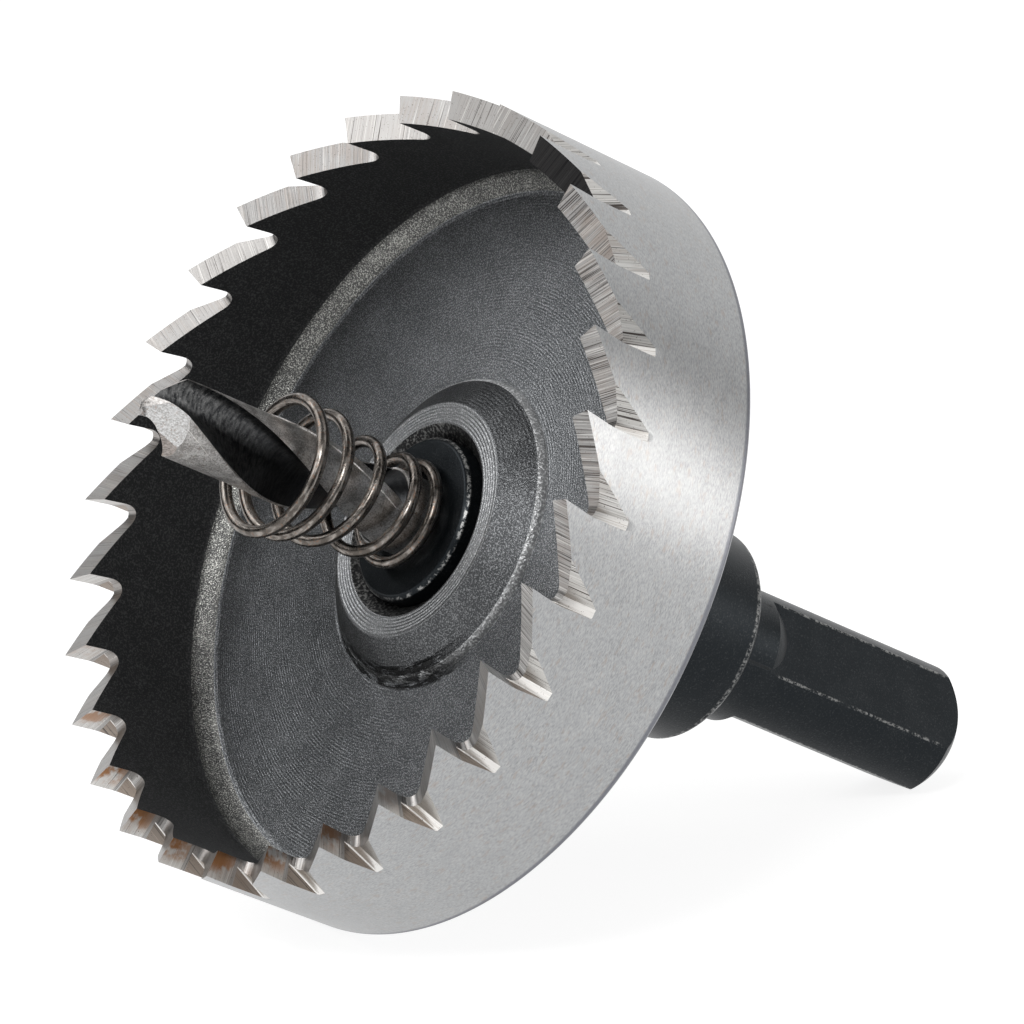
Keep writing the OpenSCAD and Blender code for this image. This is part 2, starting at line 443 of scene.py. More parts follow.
@dataclass(frozen=True)
class SatinWall(Finish):
    """Outer wall of the cup: bright satin steel with a short grain round the axis."""

    name: str = "satin_wall"
    dark: Colour = (0.27, 0.273, 0.276)
    tone: Colour = (0.37, 0.376, 0.382)
    light: Colour = (0.49, 0.488, 0.48)
    brown: Colour = (0.34, 0.28, 0.235)
    brown_share: float = 0.4
    grain_mm: float = 0.085
    grain_length_mm: float = 0.3
    grain_depth: float = 0.009
    rear_rim_dark: Colour = (0.12, 0.125, 0.15)
    rear_rim_dark_share: float = 0.75
    rear_rim_dark_height: float = 0.75
    faced: bool = False

    def shade(self, graph: Graph, space: ToolSpace) -> Sockets:
        """Grain, faint brown flecks and a darker band over the rim at the rear.

        Args:
            graph: the material's graph.
            space: the tool's coordinates in it.

        Returns:
            The metal shader's sockets.
        """
        across = space.r if self.faced else space.z
        grain = graph.noise(space.rings(across, self.grain_mm, self.grain_length_mm), detail=3.0, rough=0.6)
        slow = graph.noise(space.rings(across, pitch=1.3, length=3.2), detail=3.0, rough=0.55)
        flecks = graph.noise(space.rings(across, pitch=0.3, length=0.9)).step(0.56, 0.72)
        stops = [(0.33, self.dark), (0.53, self.tone), (0.76, self.light)]
        steel = graph.ramp(grain * 0.9 + slow * 0.15, stops)
        colour = graph.blend(flecks * self.brown_share, steel, self.brown)
        # A darker band of colour over the rear rim's bevel.
        rim = space.z.between(-1.0, self.rear_rim_dark_height, 0.12)
        return {
            "Base Color": graph.blend(rim * self.rear_rim_dark_share, colour, self.rear_rim_dark),
            "Metallic": 1.0,
            "Roughness": 0.3 + grain * 0.1,
            "Normal": self.bump(graph, grain, self.grain_depth),
        }


@dataclass(frozen=True)
class BlackenedSteel(Finish):
    """Dark heat-treated skin with turning marks and fine bright specks."""

    name: str = "blackened_steel"
    tone: Colour = (0.15, 0.157, 0.165)
    speck: Colour = (0.56, 0.575, 0.59)
    speck_share: float = 0.75
    speck_mm: float = 0.12
    speck_depth: float = 0.035
    line_mm: float = 0.27
    line_share: float = 0.3
    line_depth: float = 0.017
    blotch_mm: float = 2.6
    blotch_share: float = 0.35
    metal: float = 0.95
    rough: float = 0.4
    across_height: bool = False
    # Band of radii in the crease round the hub's foot that carries painted shade and a sunken ragged relief.
    torn_shade_band: tuple[float, float] | None = None
    painted_shade_tone: Colour = (0.012, 0.012, 0.012)
    painted_shade_share: float = 0.92
    torn_depth: float = 0.12
    shaded_side_deg: tuple[float, float] = (120.0, 152.0)

    def lines(self, graph: Graph, space: ToolSpace) -> Term:
        """Turning marks: an even wave that fades in and out, over uneven scratches.

        Args:
            graph: the material's graph.
            space: the tool's coordinates in it.

        Returns:
            Height of the marks, about 0.35 in the mean.
        """
        across = space.z if self.across_height else space.r
        drift = graph.noise(space.rings(across, pitch=1.6, length=4.0))
        wave = (across * (math.tau / self.line_mm) + drift * 4.0).sine()
        uneven = graph.noise(space.rings(across, pitch=0.2, length=2.4), rough=0.6)
        return wave * drift.step(0.35, 0.62) * 0.32 + uneven * 0.7

    def tear_and_shade(self, graph: Graph, space: ToolSpace, band: tuple[float, float]) -> Term:
        """Mask of painted shade in the crease round the hub's foot, with a sunken ragged relief: a band of
        radii on the low side of the cup.
        """
        shreds = graph.noise(space.rings(space.r, pitch=0.24, length=1.5), detail=3.0, rough=0.7)
        return space.r.between(*band, 0.15) * space.low_side(*self.shaded_side_deg) * shreds.step(0.6, 0.5)

    def shade(self, graph: Graph, space: ToolSpace) -> Sockets:
        """Specks, turning marks and blotches, with painted shade and a sunken ragged relief at the hub's foot
        where it is set.

        Args:
            graph: the material's graph.
            space: the tool's coordinates in it.

        Returns:
            The metal shader's sockets.
        """
        lines = self.lines(graph, space)
        specks = graph.noise(space.point, self.speck_mm, detail=1.0, rough=0.6)
        blotch = graph.noise(space.point, self.blotch_mm, detail=3.0, rough=0.6) - 0.5
        # The bright specks are partly the skin's own grain and partly painted glints.
        mask = specks.step(0.45, 0.68) * self.speck_share + (lines - 0.5) * self.line_share
        colour = graph.blend(mask + blotch * self.blotch_share, self.tone, self.speck)
        grooves = self.bump(graph, lines, self.line_depth)
        if self.torn_shade_band is not None:
            # Painted shade: a dark, ragged band in the crease round the hub's foot, on the low side only.
            tear_and_shade = self.tear_and_shade(graph, space, self.torn_shade_band)
            colour = graph.blend(tear_and_shade * self.painted_shade_share, colour, self.painted_shade_tone)
            grooves = self.bump(graph, -tear_and_shade, self.torn_depth, grooves)
        return {
            "Base Color": colour,
            "Metallic": self.metal,
            "Roughness": self.rough + blotch * 0.12,
            "Normal": self.bump(graph, specks, self.speck_depth, grooves),
        }


@dataclass(frozen=True)
class GroundSteel(Finish):
    """Bare ground steel with marks that run with the grinding wheel."""

    name: str = "ground_steel"
    grind: Grind = Grind.STRAIGHT
    tone: Colour = (0.38, 0.37, 0.36)
    bright: Colour = (0.72, 0.71, 0.69)
    dark: Colour = (0.06, 0.05, 0.045)
    dull: Colour = (0.2, 0.205, 0.215)
    dull_share: float = 0.22
    stain: Colour = (0.26, 0.20, 0.16)
    stain_share: float = 0.4
    stain_mm: float = 2.4
    pit: Colour = (0.08, 0.06, 0.05)
    pit_share: float = 0.7
    pit_mm: float = 0.12
    pitch_mm: float = 0.066
    mark_depth: float = 0.008
    rough: float = 0.32
    early_deg: float = 2.2
    coarse_deg: float = -62.0
    burn: Colour = (0.3, 0.14, 0.055)
    burn_share: float = 0.0
    burn_heights: tuple[float, float] = (12.0, 15.2)
    burn_radii: tuple[float, float] = (32.5, 31.2)
    burn_side_deg: tuple[float, float] = (118.0, 150.0)
    # One tooth whose back facet is painted near black: a painted dark reflection.
    dark_reflection_tooth: int | None = None
    dark_reflection_tone: Colour = (0.012, 0.012, 0.013)
    dark_reflection_share: float = 0.95

    def marks(self, graph: Graph, space: ToolSpace, pitch: float, length: float, rough: float = 0.5) -> Term:
        """Grinding marks of one width and length, as a noise."""
        place = space.strokes(self.grind, pitch, length, self.early_deg)
        return graph.noise(place, detail=1.0, rough=rough)

    def burnt(self, graph: Graph, space: ToolSpace) -> Term:
        """Mask of the burnt patches near the tips of the lowest teeth.

        Args:
            graph: the material's graph.
            space: the tool's coordinates in it.

        Returns:
            1 where the steel is burnt.
        """
        patches = graph.noise(space.point, size=1.4, detail=3.0, rough=0.6).step(0.38, 0.56)
        near_tips = space.z.step(*self.burn_heights) * space.r.step(*self.burn_radii)
        return patches * near_tips * space.low_side(*self.burn_side_deg)

    def shade(self, graph: Graph, space: ToolSpace) -> Sockets:
        """Grinding marks with dull teeth, stains, pits and burns, and one tooth's facet painted dark as a
        painted reflection.

        Args:
            graph: the material's graph.
            space: the tool's coordinates in it.

        Returns:
            The metal shader's sockets.
        """
        coarse = (space.angle() - self.coarse_deg).abs().step(62.0, 26.0) * 0.4 + 0.56
        fine = self.marks(graph, space, self.pitch_mm, 7.0, rough=0.6)
        middle = self.marks(graph, space, self.pitch_mm * 2.2, 12.0)
        broad = self.marks(graph, space, 1.1, 14.0)
        marks = (fine * 0.68 + middle * 0.32 + (broad - 0.5) * 0.2 - 0.5) * coarse + 0.5
        stops = [(0.39, self.dark), (0.455, self.tone), (0.55, self.tone), (0.63, self.bright)]
        tooth = space.tooth_turn(self.early_deg).floor()
        luck = graph.chance(tooth)
        colour = graph.blend(luck * self.dull_share, graph.ramp(marks, stops), self.dull)
        brown = (graph.noise(space.point, self.stain_mm) * 0.5 + middle * 0.5).step(0.44, 0.6)
        spoilt = (luck * 1.3 + 0.25) * self.stain_share
        colour = graph.blend(brown * coarse * spoilt, colour, self.stain)
        pits = graph.noise(space.point, self.pit_mm, detail=1.0).step(0.68, 0.74)
        colour = graph.blend(pits * self.pit_share, colour, self.pit)
        if self.burn_share > 0.0:
            colour = graph.blend(self.burnt(graph, space) * self.burn_share, colour, self.burn)
        if self.dark_reflection_tooth is not None:
            # Painted reflection: this tooth's back facet is painted near black, standing in for a dark
            # reflection.
            skin = (tooth - float(self.dark_reflection_tooth)).abs().step(0.6, 0.4)
            colour = graph.blend(skin * self.dark_reflection_share, colour, self.dark_reflection_tone)
        return {
            "Base Color": colour,
            "Metallic": 1.0,
            "Roughness": self.rough + broad * 0.1,
            "Normal": self.bump(graph, fine + middle, self.mark_depth),
        }


@dataclass(frozen=True)
class ArborEdges:
    """Where the arbor's edges lie, in tool millimetres."""

    collar_end: float
    collar_radius: float
    shank_radius: float
    flat_distance: float
    flat_angles: tuple[float, ...]
    flats_start: float
    nose_radius: float
    nose_height: float

    def collar(self, space: ToolSpace) -> Term:
        """Mask of the crease above the collar's rear bevel."""
        ring = (space.z - self.collar_end).between(0.3, 0.95, 0.1)
        return ring * space.r.step(self.collar_radius - 0.85, self.collar_radius - 0.55)

    def flats(self, space: ToolSpace) -> Term:
        """Mask of the long edges of the shank's flats.

        Args:
            space: the tool's coordinates in the material.

        Returns:
            1 on the edges.
        """
        turns = [math.radians(angle) for angle in self.flat_angles]
        sides = [space.x * math.cos(turn) + space.y * math.sin(turn) for turn in turns]
        facing = sides[0]
        for side in sides[1:]:
            facing = facing.most(side)
        near_flat = (facing - self.flat_distance).abs().step(0.09, 0.03)
        near_round = space.r.step(self.shank_radius - 0.11, self.shank_radius - 0.05)
        return near_flat * near_round * space.z.step(self.flats_start, self.flats_start - 0.6)

    def lip(self, space: ToolSpace) -> Term:
        """Mask of the nose's front edge."""
        ring = space.r.between(self.nose_radius - 0.2, self.nose_radius + 0.1, 0.05)
        return ring * space.z.step(self.nose_height - 0.5, self.nose_height - 0.3)


@dataclass(frozen=True)
class BlackOxide(Finish):
    """Satin black oxide, bright along the arbor's edges: partly rubbed through and partly painted highlight.
    """

    name: str = "black_oxide"
    tone: Colour = (0.009, 0.0122, 0.015)
    pale: Colour = (0.05, 0.053, 0.056)
    bare_and_highlight: Colour = (0.42, 0.42, 0.41)
    metal: float = 0.78
    rough: float = 0.38
    grain_depth: float = 0.016
    edges: ArborEdges | None = None

    def worn_and_highlit(self, graph: Graph, space: ToolSpace, edges: ArborEdges) -> Term:
        """Mask of the broken bright lines along the edges, partly rubbed through to the steel and partly
        painted highlight.

        Args:
            graph: the material's graph.
            space: the tool's coordinates in it.
            edges: where the edges lie.

        Returns:
            Share of the bright edge colour.
        """
        rub_and_glint = graph.noise(space.point, size=0.3, detail=3.0, rough=0.7).step(0.44, 0.58)
        gaps = graph.noise(space.point, size=0.9, rough=0.6).step(0.36, 0.52)
        along = edges.collar(space) * 0.5 + edges.flats(space) * 0.5 + edges.lip(space) * 0.8
        return along * (rub_and_glint * gaps)

    def shade(self, graph: Graph, space: ToolSpace) -> Sockets:
        """Fine specks and blotches, with the bright edges where they are set.

        Args:
            graph: the material's graph.
            space: the tool's coordinates in it.

        Returns:
            The metal shader's sockets.
        """
        specks = graph.noise(space.point, size=0.16, detail=3.0, rough=0.6)
        blotch = graph.noise(space.point, size=2.5, detail=3.0, rough=0.6)
        colour = graph.blend(specks.step(0.5, 0.8) * 0.8 + (blotch - 0.5) * 0.4, self.tone, self.pale)
        if self.edges is not None:
            # Bright edge lines: partly rubbed-through steel and partly painted highlight.
            colour = graph.blend(self.worn_and_highlit(graph, space, self.edges), colour, self.bare_and_highlight)
        return {
            "Base Color": colour,
            "Metallic": self.metal,
            "Roughness": self.rough + (blotch - 0.5) * 0.15,
            "Normal": self.bump(graph, specks + blotch * 0.5, self.grain_depth),
        }


@dataclass(frozen=True)
class DrillSteel(Finish):
    """Ground lands and dark, oiled flutes of the pilot drill."""

    name: str = "drill_steel"
    land: Colour = (0.86, 0.84, 0.82)
    land_dark: Colour = (0.4, 0.38, 0.365)
    flute: Colour = (0.022, 0.023, 0.025)
    painted_flute_glint: Colour = (0.42, 0.42, 0.415)
    rust: Colour = (0.26, 0.15, 0.09)
    rust_share: float = 0.5
    land_radius: float = 3.23
    painted_glint_heights: tuple[float, float] = (20.0, 31.0)
    grain_depth: float = 0.025

    def shade(self, graph: Graph, space: ToolSpace) -> Sockets:
        """Speckled lands, and dark flutes whose painted reflections grow brighter towards the tip.

        Args:
            graph: the material's graph.
            space: the tool's coordinates in it.

        Returns:
            The metal shader's sockets.
        """
        on_land = space.r.step(self.land_radius - 0.2, self.land_radius - 0.12)
        specks = graph.noise(space.point, size=0.13, rough=0.65)
        blotch = graph.noise(space.point, size=1.1, detail=3.0, rough=0.6)
        rust = graph.noise(space.point, size=0.35, detail=3.0, rough=0.65).step(0.6, 0.7)
        bright = (specks * 0.6 + blotch * 0.5).step(0.42, 0.68)
        land = graph.blend(rust * self.rust_share, graph.blend(bright, self.land_dark, self.land), self.rust)
        # Painted reflection: streaky light patches in the dark flutes, stronger towards the tip.
        painted_glint_near_tip = space.z.step(*self.painted_glint_heights) * 0.75 + 0.12
        streaks = graph.noise(space.rings(space.z, pitch=0.22, length=0.6)).step(0.25, 0.85)
        share = (streaks * 0.5 + specks.step(0.52, 0.75) * 0.3) * painted_glint_near_tip
        flute = graph.blend(share, self.flute, self.painted_flute_glint)
        return {
            "Base Color": graph.blend(on_land, flute, land),
            "Metallic": 0.95,
            "Roughness": 0.24 + blotch * 0.16,
            "Normal": self.bump(graph, specks + blotch * 0.6, self.grain_depth),
        }


@dataclass(frozen=True)
class PointSteel(Finish):
    """Ground faces of the drill's point, with marks that cross them."""

    name: str = "point_steel"
    tone: Colour = (0.55, 0.535, 0.52)
    dark: Colour = (0.24, 0.225, 0.215)
    rust: Colour = (0.26, 0.15, 0.09)
    rust_share: float = 0.45
    rough: float = 0.32
    mark_depth: float = 0.012

    def shade(self, graph: Graph, space: ToolSpace) -> Sockets:
        """Fine grinding marks with specks of rust.

        Args:
            graph: the material's graph.
            space: the tool's coordinates in it.

        Returns:
            The metal shader's sockets.
        """
        marks = graph.noise(graph.vector(space.x * 9.0, space.y * 1.2, space.z * 9.0), rough=0.6)
        specks = graph.noise(space.point, size=0.12, rough=0.6)
        rust = graph.noise(space.point, size=0.3, detail=3.0, rough=0.65).step(0.58, 0.68)
        colour = graph.blend((marks * 0.7 + specks * 0.4).step(0.35, 0.75), self.dark, self.tone)
        return {
            "Base Color": graph.blend(rust * self.rust_share, colour, self.rust),
            "Metallic": 1.0,
            "Roughness": self.rough + specks * 0.12,
            "Normal": self.bump(graph, marks + specks * 0.5, self.mark_depth),
        }


@dataclass(frozen=True)
class SpringWire(Finish):
    """Oil-tempered spring wire, dark with a brown tint and drawing marks."""

    name: str = "spring_wire"
    tone: Colour = (0.10, 0.088, 0.078)
    pale: Colour = (0.5, 0.465, 0.43)
    scale: Colour = (0.2, 0.115, 0.075)
    scale_share: float = 0.8
    mark_depth: float = 0.004

    def shade(self, graph: Graph, space: ToolSpace) -> Sockets:
        """Drawing marks and blotches with flakes of brown scale.

        Args:
            graph: the material's graph.
            space: the tool's coordinates in it.

        Returns:
            The metal shader's sockets.
        """
        drawn = graph.noise(space.rings(space.z + space.r, pitch=0.1, length=1.4), rough=0.6)
        blotch = graph.noise(space.point, size=0.8, detail=3.0, rough=0.6)
        flakes = graph.noise(space.point, size=0.22, rough=0.6).step(0.56, 0.64)
        colour = graph.blend(drawn.step(0.42, 0.7) * 0.5 + (blotch - 0.42) * 0.9, self.tone, self.pale)
        colour = graph.blend(flakes * blotch.step(0.42, 0.55) * self.scale_share, colour, self.scale)
        return {
            "Base Color": colour,
            "Metallic": 1.0,
            "Roughness": 0.22 + blotch * 0.12,
            "Normal": self.bump(graph, drawn - flakes * 0.3, self.mark_depth),
        }


# Modelling helpers


@dataclass(frozen=True)
class Corner:
    """A corner of a turned profile.

    The zone belongs to the side that starts at this corner, and ease is how
    far the rounding of the corner reaches along its two sides.
    """

    r: float
    z: float
    zone: int = 0
    ease: float = 0.0


def direction(angle_deg: float) -> Vector:
    """Direction in a plane, by its angle from the first axis."""
    return Vector((math.cos(math.radians(angle_deg)), math.sin(math.radians(angle_deg))))


def shift(bm: bmesh.types.BMesh, way: Vector | Triple) -> None:
    """Moves a whole bmesh."""
    bmesh.ops.translate(bm, verts=bm.verts[:], vec=way)


def rotate(bm: bmesh.types.BMesh, turn: Matrix) -> None:
    """Turns a whole bmesh about the origin."""
    bmesh.ops.rotate(bm, verts=bm.verts[:], cent=ORIGIN, matrix=turn)


def about(axis: str, angle_deg: float, size: int = 4) -> Matrix:
    """Rotation about one of the axes, by degrees."""
    return Matrix.Rotation(math.radians(angle_deg), size, axis)


def round_off(
    bm: bmesh.types.BMesh, geom: Geometry, reach: float, segments: int, affect: str = "VERTICES"
) -> None:
    """Rounds corners or edges.

    Args:
        bm: the bmesh that holds them.
        geom: the vertices or edges.
        reach: how far the rounding reaches from each of them.
        segments: number of steps in the rounding.
        affect: "VERTICES" or "EDGES".
    """
    bmesh.ops.bevel(
        bm, geom=geom, offset=reach, offset_type="OFFSET", segments=segments, profile=0.5,
        affect=affect, clamp_overlap=True, material=-1,
    )


def sweep(
    bm: bmesh.types.BMesh,
    geom: Geometry,
    angle: float,
    steps: int,
    centre: Vector | Triple = ORIGIN,
    axis: Triple = TOOL_AXIS,
    rise: float = 0.0,
    merge: bool = False,
    copies: bool = False,
) -> Geometry:
    """Sweeps geometry about an axis.

    Args:
        bm: the bmesh that holds it.
        geom: the vertices, edges or faces to sweep.
        angle: whole angle, in radians.
        steps: number of steps.
        centre: a point of the axis.
        axis: direction of the axis.
        rise: climb along the tool axis at each step.
        merge: whether the end joins the start.
        copies: whether copies are left behind instead of a skin.

    Returns:
        What the last step made.
    """
    made = bmesh.ops.spin(
        bm, geom=geom, cent=centre, axis=axis, dvec=(0.0, 0.0, rise), angle=angle, steps=steps,
        use_merge=merge, use_duplicate=copies,
    )
    return made["geom_last"]


def heal(bm: bmesh.types.BMesh, distance: float = 1e-4) -> None:
    """Closes tiny gaps and turns all faces outwards."""
    bmesh.ops.remove_doubles(bm, verts=bm.verts[:], dist=distance)
    bmesh.ops.recalc_face_normals(bm, faces=bm.faces[:])


def gap_to_side(spot: Vector, start: Corner, end: Corner) -> float:
    """Distance from a point of the profile plane to one side of a profile.

    Args:
        spot: the point.
        start: corner at which the side starts.
        end: corner at which it ends.

    Returns:
        The distance, in millimetres.
    """
    first = Vector((start.r, start.z))
    way = Vector((end.r, end.z)) - first
    share = max(0.0, min(1.0, (spot - first).dot(way) / way.length_squared))
    return (spot - first - way * share).length


def turned(corners: list[Corner], segments: int, closed: bool = True) -> bmesh.types.BMesh:
    """Turns a profile about the tool axis.

    Args:
        corners: the profile's corners in order, in millimetres.
        segments: number of steps round the axis.
        closed: whether the last corner joins the first; an open profile starts
            and ends on the axis.

    Returns:
        A closed mesh whose faces carry the zones as material indices.
    """
    bm = bmesh.new()
    verts = [bm.verts.new((c.r, 0.0, c.z)) for c in corners]
    count = len(corners) if closed else len(corners) - 1
    sides = list(zip(corners, corners[1:] + corners[:1]))[:count]
    for pair in list(zip(verts, verts[1:] + verts[:1]))[:count]:
        bm.edges.new(pair)
    for vert, corner in zip(verts, corners):
        if corner.ease > 0.0:
            round_off(bm, [vert], corner.ease, EASE_STEPS)
    sweep(bm, bm.verts[:] + bm.edges[:], math.tau, segments, merge=True)
    heal(bm, 1e-5)
    for face in bm.faces:
        radius = sum(v.co.xy.length for v in face.verts) / len(face.verts)
        spot = Vector((radius, face.calc_center_median().z))
        face.material_index = min(sides, key=lambda side: gap_to_side(spot, *side))[0].zone
    return bm


def rod(radius: float, low: float, high: float, sides: int) -> bmesh.types.BMesh:
    """Straight rod on the tool axis.

    Args:
        radius: distance of its edges from the axis.
        low: height at which it starts.
        high: height at which it ends.
        sides: number of its sides.

    Returns:
        The rod.
    """
    bm = bmesh.new()
    bmesh.ops.create_cone(
        bm, cap_ends=True, cap_tris=False, segments=sides,
        radius1=radius, radius2=radius, depth=high - low,
    )
    shift(bm, (0.0, 0.0, (low + high) / 2.0))
    return bm


def block(low: Vector, high: Vector, place: Matrix) -> bmesh.types.BMesh:
    """Box between two corners, laid by a matrix.

    Args:
        low: lower corner before it is laid.
        high: upper corner before it is laid.
        place: the matrix.

    Returns:
        The box.
    """
    bm = bmesh.new()
    bmesh.ops.create_cube(bm, size=1.0)
    bmesh.ops.scale(bm, verts=bm.verts[:], vec=high - low)
    shift(bm, (low + high) / 2.0)
    bmesh.ops.transform(bm, verts=bm.verts[:], matrix=place)
    return bm


def as_mesh(
    bm: bmesh.types.BMesh, name: str, materials: Iterable[bpy.types.Material] = ()
) -> bpy.types.Mesh:
    """Writes a bmesh to a new mesh and frees it.

    Args:
        bm: the finished bmesh.
        name: name of the mesh.
        materials: its material slots, in order.

    Returns:
        The mesh.
    """
    mesh = bpy.data.meshes.new(name)
    bm.to_mesh(mesh)
    bm.free()
    for material in materials:
        mesh.materials.append(material)
    return mesh


def carved(blank: bpy.types.Mesh, tools: Iterable[tuple[bpy.types.Mesh, str]]) -> bpy.types.Mesh:
    """Applies Boolean modifiers to a mesh, one after another.

    Args:
        blank: the mesh to work on.
        tools: meshes to take away or add, with the modifier's operation.

    Returns:
        The resulting mesh.
    """
    work = bpy.data.objects.new("blank", blank)
    bpy.context.scene.collection.objects.link(work)
    helpers = []
    for mesh, operation in tools:
        helper = bpy.data.objects.new("cutter", mesh)
        bpy.context.scene.collection.objects.link(helper)
        helpers.append(helper)
        modifier = work.modifiers.new("cut", "BOOLEAN")
        modifier.operation = operation
        modifier.solver = "EXACT"
        modifier.material_mode = "INDEX"
        modifier.object = helper
    graph = bpy.context.evaluated_depsgraph_get()
    result = bpy.data.meshes.new_from_object(work.evaluated_get(graph), depsgraph=graph)
    for item in [work, *helpers]:
        bpy.data.objects.remove(item)
    return result


def dress(mesh: bpy.types.Mesh, material: bpy.types.Material) -> None:
    """Gives a whole mesh one material."""
    mesh.materials.clear()
    mesh.materials.append(material)


def finished(
    mesh: bpy.types.Mesh, name: str, placement: Placement, node: str, sharp_deg: float = 28.0
) -> bpy.types.Object:
    """Lays a piece down in the scene in place of its solid.

    Args:
        mesh: the mesh in tool millimetres.
        name: name of the piece.
        placement: how the tool lies in the scene.
        node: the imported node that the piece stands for.
        sharp_deg: angle above which an edge stays sharp.

    Returns:
        The piece's object, at the origin.
    """
    mesh.transform(placement.matrix())
    mesh.shade_smooth()
    mesh.set_sharp_from_angle(angle=math.radians(sharp_deg))
    mesh.name = name
    piece = bpy.data.objects.new(name, mesh)
    bpy.context.scene.collection.objects.link(piece)
    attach(piece, "root")
    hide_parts(node)
    LOG.info("%s: %d faces", name, len(mesh.polygons))
    return piece


# Sub-assemblies


class CupZone(IntEnum):
    """Surfaces of the cup, each with its own finish."""

    WALL = 0
    REAR = 1
    INNER = 2
    BAND = 3
    FLOOR = 4
    HUB = 5
    RING = 6
    RAKE = 7
    BACK = 8
    ROOT = 9
    OUTER = 10
    OUTER_ROOT = 11
    OUTER_SIDE = 12
    FOOT = 13
    SINK = 14


@dataclass(frozen=True)
class StraightGash:
    """The grinding cut straight across the wall, seen from a tooth tip.

    Length, above, past and lid are how far the cutter reaches beyond the cut.
    """

    rake_deg: float = 9.0
    back_deg: float = 30.5
    root: float = 1.0
    fall_deg: float = 3.5
    length: float = 9.0
    above: float = 1.6
    past: float = 2.0
    lid: float = 0.3


@dataclass(frozen=True)
class SlantedGash:
    """The grinding cut that opens the gullet on the outer wall.

    Depth is measured from the tooth tip.  Reach and length are the cutter's
    own, and inset and under_back are how far it overlaps the straight cut.
    """

    depth: float = 6.15
    lean_deg: float = 26.5
    open_deg: float = 60.0
    flat: float = 0.75
    ease: float = 0.1
    reach: float = 8.0
    length: float = 20.0
    inset: float = 0.05
    under_back: float = 0.2


